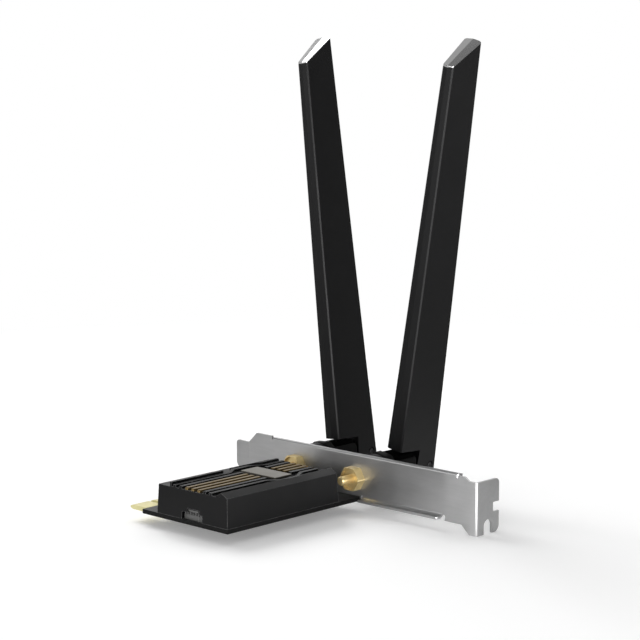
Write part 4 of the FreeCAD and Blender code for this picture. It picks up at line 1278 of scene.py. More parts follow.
@dataclass
class Studio:
    """Pale floor, a white backdrop behind the card, a dimmer room before it, and soft lamps; in reflections only, the
    floor shows a painted glint and a painted shade.

    A range is given as (low, high) or (low, high, result at low, result at high).
    """

    floor_half: float = 6.0
    floor_colour: float = 0.88
    floor_roughness: float = 0.9
    floor_specular: float = 0.1
    glow: float = 0.18
    white_range: tuple = (0.18, 0.50)
    floor_behind: tuple = (0.1, 0.5)
    room_behind: tuple = (0.36, 0.58)
    high_range: tuple = (0.25, 0.45)
    world_light: float = 0.38
    room_gloss: float = 0.30
    backdrop_gloss: float = 1.12
    high_gloss: float = 0.60
    # Ranges of the painted shade that reflections see at the floor's two ends.
    reflection_shade_left: tuple = (0.04, 0.15, 0.0, 0.6)
    reflection_shade_right: tuple = (0.07, 0.14, 0.0, 0.45)
    # Strength of the painted glint: within the wedge the floor glows in reflections only.
    painted_glint: float = 3.4
    painted_glint_slope: float = 0.35
    painted_glint_range: tuple = (-0.006, 0.03)
    into_view: tuple = (-0.69, 0.72, 0.0)
    across_view: tuple = (0.72, 0.69, 0.0)
    tab_foot: tuple = (0.058, 0.010, 0.0)

    def along(self, sheet: Sheet, where: Value, direction: tuple) -> bpy.types.NodeSocket:
        """How far a place lies along a direction, as their dot product."""
        return sheet.vector_math("DOT_PRODUCT", where, direction).outputs["Value"]

    def behind(self, sheet: Sheet, where: Value, low: float, high: float) -> bpy.types.NodeSocket:
        """How far a place or direction lies behind the card, from 0 to 1 between two values."""
        return sheet.remap(self.along(sheet, where, self.into_view), low, high)

    def wedge(self, sheet: Sheet, where: Value) -> bpy.types.NodeSocket:
        """How far a place on the floor lies in the wedge that opens from the tab to the view's side, where the floor
        shows a painted glint in reflections.

        Args:
            sheet: the floor's tree.
            where: the place.

        Returns:
            The socket with the share.
        """
        off = sheet.vector_math("SUBTRACT", where, self.tab_foot).outputs[0]
        ahead = sheet.math("MULTIPLY", self.along(sheet, off, self.into_view), -1.0)
        across = sheet.math("ABSOLUTE", self.along(sheet, off, self.across_view))
        inside = sheet.math("SUBTRACT", ahead, sheet.math("MULTIPLY", across, self.painted_glint_slope))
        return sheet.remap(inside, *self.painted_glint_range)

    def lit_floor(self, sheet: Sheet, where: Value, rays: bpy.types.Node) -> bpy.types.Node:
        """The floor near the card: it glows a little, and within the wedge it glows in reflections only, a painted
        glint that is no lamp.

        Args:
            sheet: the floor's tree.
            where: object coordinates.
            rays: the Light Path node.

        Returns:
            The node with the shader.
        """
        principled = sheet.tree.nodes["Principled BSDF"]
        principled.inputs["Base Color"].default_value = (*[self.floor_colour] * 3, 1)
        principled.inputs["Roughness"].default_value = self.floor_roughness
        principled.inputs["Specular IOR Level"].default_value = self.floor_specular
        glow = sheet.add("ShaderNodeEmission")
        # Painted glint: the floor glows for glossy rays only within the wedge, so the tab's fold shows a highlight.
        painted_glint_share = sheet.math("MULTIPLY", rays.outputs["Is Glossy Ray"], self.wedge(sheet, where))
        lit = sheet.math("MULTIPLY", rays.outputs["Is Camera Ray"], self.glow)
        sheet.feed(glow.inputs["Strength"], sheet.math("ADD", lit, sheet.math("MULTIPLY", painted_glint_share, self.painted_glint)))
        both = sheet.add("ShaderNodeAddShader")
        sheet.feed(both.inputs[0], principled.outputs[0])
        sheet.feed(both.inputs[1], glow.outputs[0])
        return both

    def floor(self) -> None:
        """A pale floor that keeps the card's shadow and turns plain white further away.

        The white share grows smoothly with the distance from the origin over its range.
        Reflections see that white behind the card only, and at its two ends a darker floor, which is painted shade.
        """
        h = self.floor_half
        mesh = bpy.data.meshes.new("floor")
        mesh.from_pydata([(-h, -h, 0), (h, -h, 0), (h, h, 0), (-h, h, 0)], [], [(0, 1, 2, 3)])
        floor = new_object("floor", mesh)
        material = bpy.data.materials.new("pale_floor")
        material.use_nodes = True
        sheet = Sheet(material.node_tree)
        rays = sheet.add("ShaderNodeLightPath")
        where = sheet.object_coordinates()
        lit_floor = self.lit_floor(sheet, where, rays)
        # Painted shade in reflections: glossy rays see the floor darker at its two ends.
        left = sheet.remap(self.along(sheet, where, (-1.0, 0.0, 0.0)), *self.reflection_shade_left)
        right = sheet.remap(self.along(sheet, where, self.across_view), *self.reflection_shade_right)
        reflection_shade = sheet.math("MULTIPLY", rays.outputs["Is Glossy Ray"], sheet.math("MAXIMUM", left, right))
        near = sheet.add("ShaderNodeMixShader")
        sheet.feed(near.inputs["Fac"], reflection_shade)
        sheet.feed(near.inputs[1], lit_floor.outputs[0])
        white = sheet.add("ShaderNodeEmission")
        more = sheet.math("MULTIPLY", rays.outputs["Is Glossy Ray"], self.backdrop_gloss - 1.0)
        sheet.feed(white.inputs["Strength"], sheet.math("ADD", more, 1.0))
        clear = sheet.math("MAXIMUM", rays.outputs["Is Glossy Ray"], rays.outputs["Is Transmission Ray"])
        clear = sheet.math("MULTIPLY", clear, self.behind(sheet, where, *self.floor_behind))
        seen = sheet.math("MAXIMUM", rays.outputs["Is Camera Ray"], clear)
        away = sheet.remap(sheet.vector_math("LENGTH", where).outputs["Value"], *self.white_range)
        blend = sheet.add("ShaderNodeMixShader")
        sheet.feed(blend.inputs["Fac"], sheet.math("MULTIPLY", seen, away))
        sheet.feed(blend.inputs[1], near.outputs[0])
        sheet.feed(blend.inputs[2], white.outputs[0])
        out = material.node_tree.nodes["Material Output"]
        sheet.feed(out.inputs["Surface"], blend.outputs[0])
        mesh.materials.append(material)

    def world(self) -> None:
        """Even pale light from all round; the view sees white, and so do reflections behind the card."""
        world = bpy.data.worlds.new("studio")
        bpy.context.scene.world = world
        world.use_nodes = True
        sheet = Sheet(world.node_tree)
        background = world.node_tree.nodes["Background"]
        background.inputs["Color"].default_value = (1, 1, 1, 1)
        rays = sheet.add("ShaderNodeLightPath")
        direction = sheet.add("ShaderNodeTexCoord").outputs["Generated"]
        backdrop = self.behind(sheet, direction, *self.room_behind)
        gloss = sheet.remap(backdrop, 0.0, 1.0, self.room_gloss, self.backdrop_gloss)
        height = self.along(sheet, direction, (0.0, 0.0, 1.0))
        gloss = sheet.math("MULTIPLY", gloss, sheet.remap(height, *self.high_range, 1.0, self.high_gloss))
        mixed = sheet.math("MULTIPLY", rays.outputs["Is Glossy Ray"], sheet.math("SUBTRACT", gloss, self.world_light))
        plain = sheet.math("ADD", mixed, self.world_light)
        seen = sheet.math("MAXIMUM", rays.outputs["Is Camera Ray"], rays.outputs["Is Transmission Ray"])
        sheet.feed(background.inputs["Strength"], sheet.math("MAXIMUM", plain, seen))

    def build(self) -> None:
        """Sets up floor, world and lamps."""
        self.floor()
        self.world()
        for lamp in LAMPS:
            lamp.build()
        bpy.context.scene.view_settings.view_transform = "Standard"


# Parts of the card


@dataclass
class Bracket:
    """Steel bracket with its bent tab, tongue and lips."""

    ease: float = 0.10

    def build(self) -> None:
        """Rounds the sheet's cut edges and dresses it."""
        fit_eased("bracket_sheet", "bracket", self.ease, "bracket_steel")


@dataclass
class ContactPads:
    """Gold contact fingers on both faces of a board's edge."""

    left: float
    right: float
    starts: tuple
    width: float
    thick: float = 0.05
    ease: float = 0.02
    corner_share: float = 0.3

    def parts(self, top: float, bottom: float) -> tuple:
        """Every finger as a thin pad with rounded corners.

        Args:
            top: height of the board's upper face.
            bottom: height of its lower face.

        Returns:
            (points, faces).
        """
        pads = []
        for start in self.starts:
            end = start + self.width
            corners = np.array([(self.left, start), (self.right, start), (self.right, end), (self.left, end)])
            outline = rounded_outline(corners, np.full(4, self.width * self.corner_share), 4)
            pads.append(eased_prism(outline, top, top + self.thick, self.ease, Axis.Z, 2))
            pads.append(eased_prism(outline, bottom - self.thick, bottom, self.ease, Axis.Z, 2))
        return merged(pads)


@dataclass
class Board:
    """Circuit board with its edge tongue and contact fingers."""

    left: float = -97.75
    edge_reach: float = 8.60
    edge_front: float = -65.45
    near_run: float = 7.65
    key: float = 1.90
    bottom: float = 4.06
    top: float = 5.66
    pitch: float = 1.00
    finger: float = 0.72
    finger_margin: float = 0.32
    finger_gap: float = 1.25
    finger_stop: float = 0.25
    near_fingers: int = 7
    far_fingers: int = 11
    panel_ease: float = 0.06
    capacitor_ease: float = 0.05
    chip_ease: float = 0.06

    def build(self) -> None:
        """Eases the board's cut edges and lays the fingers on it, before and after the key notch."""
        fit_eased("board_panel", "board", self.panel_ease, "board_lacquer")
        near = self.edge_front + self.finger_margin
        far = self.edge_front + self.near_run + self.key + self.finger_margin
        starts = (
            *(near + k * self.pitch for k in range(self.near_fingers)),
            *(far + k * self.pitch for k in range(self.far_fingers)),
        )
        left, right = self.left - self.edge_reach + self.finger_gap, self.left - self.finger_stop
        pads = ContactPads(left, right, starts, self.finger).parts(self.top, self.bottom)
        fit_shape("edge_finger_pads", pads, "contact_gold", "card", ("edge_contacts",))
        fit_eased("capacitor_bodies", "chip_capacitors", self.capacitor_ease, "ceramic_tan")
        fit_eased("chip_bodies", "chip_packages", self.chip_ease, "chip_black")


@dataclass
class CoolingCover:
    """Heatsink cover with its fins and name plate."""

    ease: float = 0.13
    plate_ease: float = 0.10

    def build(self) -> None:
        """Builds the cover, the gold fins and the plate."""
        fit_eased("heatsink_cover", "heatsink", self.ease, "sink_black")
        fit_eased("gold_fin_tops", "gold_fins", self.ease, "fin_gold")
        fit_eased("name_plate_rim", "name_plate", self.plate_ease, "plate_silver")


class Facing(Enum):
    """Which way a screw's head looks along Z."""

    UP = 1
    DOWN = -1


@dataclass
class CrossScrew:
    """Pan-head screw along Z with a cross recess in its head and a thread on its shank.

    The shares are parts of the head's radius, except `depth_share` and `dome_share`, which are
    parts of its thickness.
    """

    head: float
    shank: float
    thick: float
    length: float
    facing: Facing
    pitch: float = 0.40
    thread_depth: float = 0.14
    arm_share: float = 0.13
    reach_share: float = 0.62
    depth_share: float = 0.55
    crown_share: float = 0.80
    dome_share: float = 0.14

    def parts(self, x: float, y: float, z: float) -> tuple:
        """Builds one screw.

        The head's top is a dome whose height falls with the square of the radius. Within the
        recess the height drops where either distance from the two crossing lines is under the
        arm's half width, with a steep ramp, so the cross is cut into the same grid.

        Args:
            x: place in X.
            y: place in Y.
            z: height of the head's seat.

        Returns:
            (points, faces).
        """
        up = self.facing.value
        head, shank, thick = self.head, self.shank, self.thick
        arm, reach, depth = head * self.arm_share, head * self.reach_share, thick * self.depth_share
        crown, high, rings = head * self.crown_share, thick * 0.98, 26
        top = np.stack([np.linspace(head * 0.03, crown, rings), np.full(rings, thick)], axis=1)
        turn = np.linspace(0.0, QUARTER, 6)[1:]
        rim = np.stack([crown + head * 0.20 * np.sin(turn), thick * (0.55 + 0.45 * np.cos(turn))], axis=1)
        wall = np.array([(head, 0.03), (head - 0.03, 0.0), (shank, 0.0)])
        down = thread(0.0, self.length - 0.25, self.pitch)[1:]
        screw = np.stack([np.full(len(down), shank), -down], axis=1)
        tip = np.array([(shank * 0.7, -self.length), (shank * 0.05, -self.length)])
        profile = np.vstack([top, rim, wall, screw, tip])

        def shape(r: np.ndarray, t: np.ndarray, a: np.ndarray) -> tuple:
            """Dome, cross and thread.

            Args:
                r: grid of radii.
                t: grid of places along the axis.
                a: grid of angles.

            Returns:
                (radii, places).
            """
            u, v = np.abs(r * np.cos(a)), np.abs(r * np.sin(a))
            slot = np.clip((arm - np.minimum(u, v)) / (arm * 0.25), 0.0, 1.0)
            slot *= np.clip((reach - r) / (head * 0.06), 0.0, 1.0)
            dome = thick * self.dome_share * (r / head) ** 2
            place = np.where(t > high, t - dome - depth * slot, t)
            place = np.where((t > 0.04) & (t <= high), np.minimum(place, thick * 0.91), place)
            cut = np.where(t < -0.01, ridge(t, a, self.pitch, self.thread_depth), 0.0)
            return np.where(t < -self.length + 0.2, r, r - cut), z + up * place

        return turned(profile, (x, y), 48, shape, axis=Axis.Z)


@dataclass
class Module:
    """Radio card with its can, socket and pad under the heatsink, and the screws."""

    middle: float = -71.90
    card_back: float = -24.20
    card_top: float = 8.26
    board_top: float = 5.66
    board_bottom: float = 4.06
    sink_x: tuple = (-85.90, -57.90)
    sink_y: tuple = (-63.35, -15.95)
    ear_x: tuple = (-88.40, -63.80)
    ear_y: float = -5.0
    can_ease: float = 0.10
    socket_ease: float = 0.08

    def screws(self) -> None:
        """Builds the screws of the heatsink, the bracket's ears and the radio card."""
        sets = (
            ("sink_screw_set", "heatsink_screws", CrossScrew(1.90, 0.93, 0.70, 6.80, Facing.DOWN),
             [(x, y, self.board_bottom) for x in self.sink_x for y in self.sink_y]),
            ("ear_screw_set", "ear_screws", CrossScrew(1.90, 0.95, 0.95, 2.46, Facing.UP),
             [(x, self.ear_y, self.board_top) for x in self.ear_x]),
            ("card_screw_head", "card_screw", CrossScrew(2.60, 0.85, 0.75, 2.30, Facing.UP),
             [(self.middle, self.card_back, self.card_top)]),
        )
        for name, node, screw, seats in sets:
            shape = merged([screw.parts(*seat) for seat in seats])
            fit_shape(name, shape, "screw_steel", "card", (node,))

    def build(self) -> None:
        """Builds the screws, eases the can and the socket, and dresses the rest."""
        self.screws()
        fit_eased("can_cover", "shield_can", self.can_ease, "tin_plate")
        fit_eased("socket_body", "card_socket", self.socket_ease, "socket_black")
        keep_nodes({"thermal_pad": "pad_grey", "radio_card": "module_lacquer", "radio_card_contacts": "contact_gold",
                    "card_standoff": "jack_gold", "card_coax_sockets": "contact_gold"})


@dataclass
class WireHeader:
    """Side-entry wire header in the heatsink's front wall."""

    left: float = -76.60
    right: float = -67.50
    front: float = -66.70
    back: float = -61.40
    foot: float = 5.66
    sill: float = 7.55
    slot_top: float = 8.72
    top: float = 9.36
    slots: int = 5
    slot_wall: float = 0.34
    lip_left: float = 1.75
    lip_right: float = 1.70
    row_left: float = 0.75
    post_inset: float = 1.05
    post_width: float = 1.00
    side_wall: float = 0.95
    ease: float = 0.10

    def parts(self) -> list:
        """Lower block, slotted row, lip, its step, post, side wall and the walls between the slots.

        Returns:
            (points, faces) of each.
        """
        left, right, front, back = self.left, self.right, self.front, self.back
        foot, sill, slot_top, ease = self.foot, self.sill, self.slot_top, self.ease
        lip_left, lip_right = left + self.lip_left, right - self.lip_right
        row_left, row_right = left + self.row_left, lip_right - 0.05
        post = right - self.post_inset
        pieces = [
            block(left, post, front + 0.35, back, foot, sill, ease),
            block(left + 0.2, right - 0.2, back - 1.3, back, sill - 0.1, slot_top, 0.08),
            block(lip_left, lip_right, front + 0.04, back, slot_top, self.top, 0.12),
            block(left + 0.55, lip_left + 0.1, front + 0.10, back, slot_top - 0.30, slot_top + 0.12, 0.08),
            block(post - self.post_width, post, front, front + 1.4, foot, sill + 0.10, ease),
            block(right - self.side_wall, right, front + 0.20, back, foot, sill + 0.41, ease),
        ]
        step = (row_right - row_left) / self.slots
        half = self.slot_wall / 2.0
        for k in range(self.slots + 1):
            x = row_left + k * step
            pieces.append(block(x - half, x + half, front + 0.14, back - 1.2, sill - 0.1, slot_top + 0.05, 0.05))
        return pieces

    def build(self) -> None:
        """Builds the housing and dresses its pins."""
        fit_shape("header_housing", merged(self.parts()), "header_grey", "card", ("wire_header",))
        keep_nodes({"wire_header_pins": "contact_gold"})


class Side(Enum):
    """Which of the two antennas a piece belongs to."""

    LEFT = "left"
    RIGHT = "right"


@dataclass
class Jack:
    """One bulkhead jack with its washer, nut and the antenna's coupling sleeve.

    Profiles stand at the radius `beyond` or `nut_beyond` where the hexagon's own radius counts.
    """

    side: Side
    x: float
    z: float = 12.10
    sheet: float = 0.86
    hexagon: float = 8.30
    beyond: float = 5.2
    face: float = -3.60
    cup: float = 3.90
    cup_depth: float = 1.30
    rod: float = 1.70
    rod_end: float = -8.30
    barrel: float = 3.17
    barrel_end: float = 11.40
    bore: float = 2.32
    bore_floor: float = 4.45
    pitch: float = 0.7056
    thread_depth: float = 0.30
    nut_flats: float = 8.0
    nut_start: float = 0.50
    nut_end: float = 2.60
    nut_beyond: float = 6.0
    nut_cone: tuple = (4.12, 1.7)
    nut_clearance: float = 0.05
    nut_thread_depth: float = 0.22
    washer_thick: float = 0.50
    washer_radius: float = 4.90
    washer_teeth: int = 10
    tooth_twist: float = 0.09
    notch_depth: float = 0.62
    sleeve: float = 7.15
    sleeve_start: float = 3.90
    sleeve_end: float = 11.25
    sharp: float = 32.0

    def body(self) -> tuple:
        """Rod, cup, hexagon and threaded barrel as one turned piece.

        Radii above the cup's wall follow the hexagon, but no further out than a cone that starts
        at the face, so the hexagon's corners are taken off towards the face.

        Returns:
            (points, faces).
        """
        corner = self.hexagon / math.sqrt(3.0)
        face, floor = self.face, self.face + self.cup_depth
        rod, rod_end, cup, beyond = self.rod, self.rod_end, self.cup, self.beyond
        rod_and_cup = sampled(
            [
                (0.05, rod_end + 0.05), (rod - 0.55, rod_end + 0.05), (rod - 0.42, rod_end),
                (rod - 0.10, rod_end + 0.32), (rod, rod_end + 0.45), (rod, floor - 0.25),
                (rod + 0.10, floor - 0.04), (rod + 0.30, floor), (cup - 0.18, floor),
                (cup - 0.03, floor - 0.08), (cup, floor - 0.25), (cup, face + 0.12),
                (cup + 0.05, face + 0.03), (cup + 0.13, face),
            ],
            0.35,
        )
        outside_hexagon = np.array([
            (4.30, face), (5.0, face + 0.04), (beyond, face + 0.16), (beyond, face + 0.35),
            (beyond, face + 0.6), (beyond, face + 0.9), (beyond, -0.9), (beyond, -0.05), (5.1, 0.0),
        ])
        places = thread(0.02, self.barrel_end - 0.45, self.pitch)
        screw = np.stack([np.full(len(places), self.barrel), places], axis=1)
        end = np.array([
            (self.barrel - 0.42, self.barrel_end), (self.bore + 0.12, self.barrel_end),
            (self.bore, self.barrel_end - 0.12), (self.bore, self.bore_floor), (0.05, self.bore_floor),
        ])
        profile = np.vstack([rod_and_cup, outside_hexagon, screw, end])

        def shape(r: np.ndarray, t: np.ndarray, a: np.ndarray) -> tuple:
            """Hexagon outside, thread on the barrel.

            Args:
                r: grid of radii.
                t: grid of places along the axis.
                a: grid of angles.

            Returns:
                (radii, places).
            """
            cone = corner - 0.35 + (t - self.face)
            outside = np.minimum(np.minimum(hexagon(corner, a), cone), r)
            r = np.where((r > 4.2) & (t <= 0.0), np.maximum(outside, self.cup + 0.13), r)
            on_thread = (t > 0.3) & (np.abs(r - self.barrel) < 1e-6)
            return np.where(on_thread, r - ridge(t, a, self.pitch, self.thread_depth), r), t

        return turned(profile, (self.x, self.z), 120, shape)

    def nut(self) -> tuple:
        """Hexagonal nut with both rims taken off towards its corners and a threaded bore.

        The radius is the hexagon's, but no further out than a cone that opens from each face.

        Returns:
            (points, faces).
        """
        low, high = self.sheet + self.nut_start, self.sheet + self.nut_end
        corner = self.nut_flats / math.sqrt(3.0)
        bore = self.barrel + self.nut_clearance
        places = thread(low + 0.3, high - 0.3, self.pitch)[::-1]
        inside = np.stack([np.full(len(places), bore), places], axis=1)
        flat, beyond = 4.05, self.nut_beyond
        profile = np.vstack([
            [(bore + 0.30, low), (flat, low), (beyond, low + 0.02), (beyond, low + 0.25), (beyond, low + 0.5),
             (beyond, high - 0.5), (beyond, high - 0.25), (beyond, high - 0.02), (flat, high), (bore + 0.30, high)],
            inside,
        ])

        def shape(r: np.ndarray, t: np.ndarray, a: np.ndarray) -> tuple:
            """Hexagon outside, thread inside.

            Args:
                r: grid of radii.
                t: grid of places along the axis.
                a: grid of angles.

            Returns:
                (radii, places).
            """
            cone = self.nut_cone[0] + np.minimum(t - low, high - t) * self.nut_cone[1]
            outside = np.minimum(hexagon(corner, a, QUARTER / 3.0), cone)
            r = np.where(r > 5.0, outside, r)
            on_thread = np.abs(r - bore) < 1e-6
            return np.where(on_thread, r + ridge(t, a, self.pitch, self.nut_thread_depth), r), t

        return turned(profile, (self.x, self.z), 120, shape, closed=True)

    def washer(self) -> tuple:
        """Toothed lock washer; each tooth twists a little out of the flat.

        A notch is cut where the distance along the rim from its middle is under its half width,
        and outside the plain ring the height swings once for each tooth.

        Returns:
            (points, faces).
        """
        low, high = self.sheet, self.sheet + self.washer_thick
        flat_low, flat_high = low + 0.10, high - 0.10
        bore, rings = self.barrel + 0.14, 9
        radii = np.linspace(3.40, 4.88, rings)
        profile = np.vstack([
            [(bore, flat_low + 0.05)], np.stack([radii, np.full(rings, flat_low)], axis=1),
            [(self.washer_radius, (low + high) / 2.0)], np.stack([radii[::-1], np.full(rings, flat_high)], axis=1),
            [(bore, flat_high - 0.05)],
        ])

        def shape(r: np.ndarray, t: np.ndarray, a: np.ndarray) -> tuple:
            """Notches and twist.

            Args:
                r: grid of radii.
                t: grid of places along the axis.
                a: grid of angles.

            Returns:
                (radii, places).
            """
            share = TAU / self.washer_teeth
            off = np.mod(a + share / 2.0, share) - share / 2.0
            notch = np.clip((0.42 - np.abs(off) * 4.6) / 0.08, 0.0, 1.0)
            limit = self.washer_radius - self.notch_depth * notch
            twist = np.clip((r - 4.15) / 0.7, 0.0, 1.0) * self.tooth_twist * np.sin(a * self.washer_teeth)
            return np.minimum(r, limit), t + twist

        return turned(profile, (self.x, self.z), 240, shape, closed=True)

    def coupling(self) -> tuple:
        """Smooth coupling sleeve with quarter-circle rims and a shallow step inside each end.

        Returns:
            (points, faces).
        """
        r, low, high = self.sleeve, self.sleeve_start, self.sleeve_end
        near_ease, far_ease = 0.5, 0.35
        turn = np.linspace(0.0, QUARTER, 6)
        near = np.stack(
            [r - near_ease + near_ease * np.sin(turn), low + near_ease - near_ease * np.cos(turn)], axis=1
        )
        far = np.stack([r - far_ease + far_ease * np.cos(turn), high - far_ease + far_ease * np.sin(turn)], axis=1)
        inner = np.array([(4.62, high), (4.52, high - 0.12), (4.52, low + 0.9), (4.9, low + 0.4), (4.95, low)])
        side = np.stack([np.full(8, r), np.linspace(low + 0.8, high - 0.7, 8)], axis=1)
        return turned(np.vstack([near, side, far, inner]), (self.x, self.z), 144, closed=True)

    def build(self) -> None:
        """Builds the turned parts and dresses the ones inside the sleeve."""
        s = self.side.value
        pieces = (
            ("jack_body_", self.body(), "jack_gold", "jack_"),
            ("hexagon_nut_", self.nut(), "jack_gold", "jack_nut_"),
            ("toothed_washer_", self.washer(), "jack_gold", "lock_washer_"),
            ("sleeve_", self.coupling(), "sleeve_black", "coupling_sleeve_"),
        )
        for name, shape, finish, node in pieces:
            fit_shape(name + s, shape, finish, "card", (node + s,), self.sharp)
        keep_nodes({"jack_core_" + s: "insulator_white", "jack_pin_" + s: "contact_gold",
                    "coupling_insert_" + s: "jack_gold"})


@dataclass
class Antenna:
    """Knuckle and blade of one antenna.

    The blade is drawn upright about the hinge line: X across it, Y away from the card, Z up.
    A line is (value at the hinge line, change for each mm up). The wedge is how much thicker
    the blade gets towards its back at the top; `wedge_rise` is where it starts and over what
    height it grows. `cap_fall` and `cap_back_fall` are how far the cap's sides lie under its
    ridge at the nose, and how much further at the back; `cap_pitch` is the CAD cap's own fall
    for each mm. `cut_levels` is the height of the first and the last plane that divide the
    shells, and how many planes there are.
    """

    side: Side
    x: float
    swivel: float
    fold: float
    reach: float = 37.70
    height: float = 12.10
    pin_radius: float = 1.15
    pin_half: float = 3.54
    pin_ease: float = 0.22
    collar: tuple = (11.52, 15.85)
    neck_half: float = 3.55
    neck_height: float = 4.80
    neck_end: float = 29.75
    neck_ease: float = 0.70
    collar_radius: float = 7.10
    collar_cut: float = 0.586
    tongue_radius: float = 4.20
    tongue_half: float = 1.75
    # Size of the matte black web that paints the shade under the blade.
    web_half: float = 3.30
    web_top: float = 6.40
    spread: float = 3.0
    half_line: tuple = (3.59, -0.00755)
    nose_line: tuple = (-18.0, -0.0577)
    back_line: tuple = (3.11, -0.1005)
    wedge_rise: tuple = (6.5, 150.0)
    wedge_power: float = 0.75
    cap_from: float = 147.0
    cap_fall: float = 0.19
    cap_back_fall: float = 0.12
    cap_pitch: float = 0.155
    cut_levels: tuple = (15.0, 143.0, 9)
    shell_ease: float = 0.12
    cap_ease: float = 0.05
    cap_angle: float = 6.0
    sharp: float = 32.0
    pin_sharp: float = 50.0

    def turns(self, folded: bool) -> tuple:
        """Matrices of the two turns: about X by minus the fold, about Y by the swivel.

        Args:
            folded: whether the fold is made, as the blade's is and the knuckle's is not.

        Returns:
            (turn about X, turn about Y), each a (3, 3) array.
        """
        f, w = math.radians(-self.fold if folded else 0.0), math.radians(self.swivel)
        about_x = np.array([(1, 0, 0), (0, math.cos(f), -math.sin(f)), (0, math.sin(f), math.cos(f))])
        about_y = np.array([(math.cos(w), 0, math.sin(w)), (0, 1, 0), (-math.sin(w), 0, math.cos(w))])
        return about_x, about_y

    def placed(self, points: np.ndarray, folded: bool = True) -> np.ndarray:
        """Moves points drawn about the hinge line to their place.

        They turn about X by minus the fold, move out to the hinge, then turn about the jack's
        axis by the swivel.

        Args:
            points: (n, 3) array about the hinge line.
            folded: whether the points belong to the blade and so turn with the fold.

        Returns:
            The moved points.
        """
        about_x, about_y = self.turns(folded)
        turned_points = (points @ about_x.T + (0.0, self.reach, 0.0)) @ about_y.T
        return turned_points + (self.x, 0.0, self.height)

    def drawn(self, points: np.ndarray) -> np.ndarray:
        """Turns the blade's points back to where they are drawn about the hinge line.

        Args:
            points: (n, 3) array in the part's mm.

        Returns:
            (n, 3) array about the hinge line.
        """
        about_x, about_y = self.turns(folded=True)
        return ((points - (self.x, 0.0, self.height)) @ about_y - (0.0, self.reach, 0.0)) @ about_x

    def wedge(self, points: np.ndarray) -> np.ndarray:
        """Makes the blade a wedge in section: slim at its nose, full at its back.

        Each point moves across the blade by the spread times three shares: how far it lies from
        nose to back, how far from the outer to the inner side, and how high it is. At the
        slanted top the two sides rise towards the ridge, so that the slopes of the cap are
        shallow.

        Args:
            points: (n, 3) array in the part's mm.

        Returns:
            The moved points.
        """
        x, y, z = self.drawn(points).T
        half, nose, back = (at + rate * z for at, rate in (self.half_line, self.nose_line, self.back_line))
        along = np.clip((y - nose) / (back - nose), 0.0, 1.0)
        across = np.clip((half - x) / (2.0 * half), 0.0, 1.0)
        start, height = self.wedge_rise
        up = np.clip((z - start) / height, 0.0, 1.05)
        fall = self.cap_fall + self.cap_back_fall * along
        lift = (self.cap_pitch * half - fall) * np.abs(2.0 * across - 1.0) * (z > self.cap_from)
        moved = np.stack([x - self.spread * along * across**self.wedge_power * up, y, z + lift], axis=1)
        return self.placed(moved)

    def knuckle(self) -> tuple:
        """Eight-sided collar, flat neck and round-ended tongue.

        The collar's loops stand in at its near rim by a chamfer and at its far rim by a small
        quarter circle; the neck and the tongue are outlines in the upright plane carried across.

        Returns:
            (points, faces).
        """
        r, cut = self.collar_radius, self.collar_radius * self.collar_cut
        eight = np.array([
            (r - cut, r), (r, r - cut), (r, cut - r), (r - cut, -r), (cut - r, -r), (-r, cut - r),
            (-r, r - cut), (cut - r, r),
        ])
        near, far = self.collar[0] - self.reach, self.collar[1] - self.reach
        insets = [1.6, 0.95, 0.75, 0.12, 0.03, 0.0, 0.0, 0.05, 0.18, 0.45]
        places = [near, near, near + 0.06, near + 0.85, near + 0.98, near + 1.15, far - 0.40, far - 0.16,
                  far - 0.04, far]
        outline = rounded_outline(eight[:, ::-1], np.full(8, 0.40), 4)
        collar = stacked(outline, np.array(insets), np.array(places), Axis.Y)
        end, h = self.neck_end - self.reach, self.neck_height
        body = rounded_outline(np.array([(far - 0.8, -h), (end, -h), (end, h), (far - 0.8, h)]),
                               np.array([0.05, 2.0, 2.0, 0.05]), 8)
        neck = eased_prism(body, -self.neck_half, self.neck_half, self.neck_ease, Axis.X, 5)
        turn, round_radius = np.linspace(-QUARTER, QUARTER, 25), self.tongue_radius
        round_end = np.stack([round_radius * np.cos(turn), round_radius * np.sin(turn)], axis=1)
        outline = np.vstack([[(end - 1.2, -round_radius)], round_end, [(end - 1.2, round_radius)]])
        tongue = eased_prism(outline, -self.tongue_half, self.tongue_half, 0.20, Axis.X, 3)
        points, faces = merged([collar, neck, tongue])
        return self.placed(points, folded=False), faces

    def web(self) -> tuple:
        """Web that fills the gap between the neck and the blade's foot, matte black: painted shade in the gap.

        Returns:
            (points, faces).
        """
        near, far = self.collar[1] - self.reach - 0.5, self.neck_end - self.reach - 2.2
        low, high = self.neck_height - 1.0, self.web_top
        corners = np.array([(near, low), (far, low), (far, high), (near, high)])
        outline = rounded_outline(corners, np.array([0.05, 0.05, 0.6, 0.05]), 4)
        points, faces = eased_prism(outline, -self.web_half, self.web_half, 0.20, Axis.X, 3)
        return self.placed(points, folded=False), faces

    def pin(self) -> tuple:
        """Hinge pin with quarter-circle rims and a shallow dimple in each end.

        Returns:
            (points, faces).
        """
        r, half, ease = self.pin_radius, self.pin_half, self.pin_ease
        turn = np.linspace(0.0, QUARTER, 5)
        dimple = np.array([(0.04, half - 0.16), (0.25, half - 0.14), (0.42, half - 0.05), (0.52, half)])
        rim = np.stack([r - ease + ease * np.sin(turn), half - ease + ease * np.cos(turn)], axis=1)
        end = np.vstack([dimple, rim])
        profile = np.vstack([end, [(r, 1.2), (r, -1.2)], end[::-1] * (1.0, -1.0)])
        points, faces = turned(profile, (0.0, 0.0), 48, axis=Axis.X)
        return self.placed(points), faces

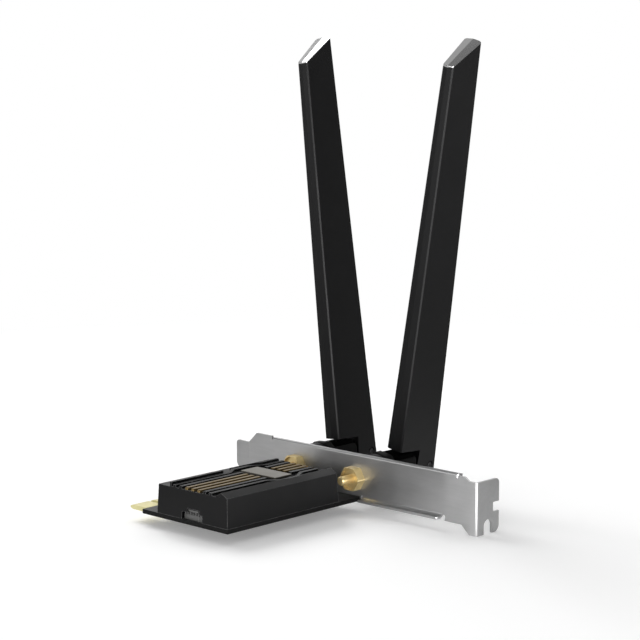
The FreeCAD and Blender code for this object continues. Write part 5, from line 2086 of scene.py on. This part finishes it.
    def cuts(self) -> tuple:
        """Planes square to the blade that divide its long faces, so that they can follow the wedge.

        Returns:
            (point, direction) of each plane, in the part's mm.
        """
        heights = np.linspace(*self.cut_levels)
        points = self.placed(np.stack([0.0 * heights, 0.0 * heights, heights], axis=1))
        up = self.placed(np.array([(0.0, 0.0, 1.0)])) - self.placed(np.zeros((1, 3)))
        return tuple((tuple(point), tuple(up[0])) for point in points)

    def build(self) -> None:
        """Builds the knuckle, its web of painted shade, the blade's shells, its cap and the pin, and dresses the rest.
        """
        s = self.side.value
        knuckle, blade = "knuckle_" + s, "blade_" + s
        black = "knuckle_black"
        fit_shape("knuckle_body_" + s, self.knuckle(), black, knuckle, (knuckle,), self.sharp)
        # Painted shade: a matte black web fills the gap under the blade.
        fit_shape("knuckle_shade_web_" + s, self.web(), "painted_shade_black", knuckle, (), self.sharp)
        cuts = self.cuts()
        for half in ("inner_", "outer_"):
            node = "blade_" + half + s
            shell = eased_copy("blade_shell_" + half + s, node, self.shell_ease, cuts=cuts, reshape=self.wedge)
            fit(shell, "blade_black", blade, (node,))
        cap = eased_copy("tip_cap_" + s, "blade_cap_" + s, self.cap_ease, self.cap_angle, reshape=self.wedge)
        fit(cap, "cap_silver", blade, ("blade_cap_" + s,))
        fit_shape("turned_pin_" + s, self.pin(), "pin_steel", blade, ("hinge_pin_" + s,), self.pin_sharp)
        keep_nodes({"plug_" + s: "jack_gold", "radiator_" + s: "aerial_laminate"})


# Side, place in X in mm, and the swivel and the fold at rest in degrees
SIDES = ((Side.LEFT, -86.40, -5.19, 2.41), (Side.RIGHT, -56.80, 9.88, 3.31))


def main() -> None:
    """Builds the view and the studio, then the card from the bracket outwards."""
    logging.basicConfig(level=logging.INFO, format="%(name)s: %(message)s")
    ViewPoint().build()
    Studio().build()
    Bracket().build()
    Board().build()
    CoolingCover().build()
    Module().build()
    WireHeader().build()
    for side, x, swivel, fold in SIDES:
        Jack(side, x).build()
        Antenna(side, x, swivel, fold).build()


if __name__ == "__main__":
    main()
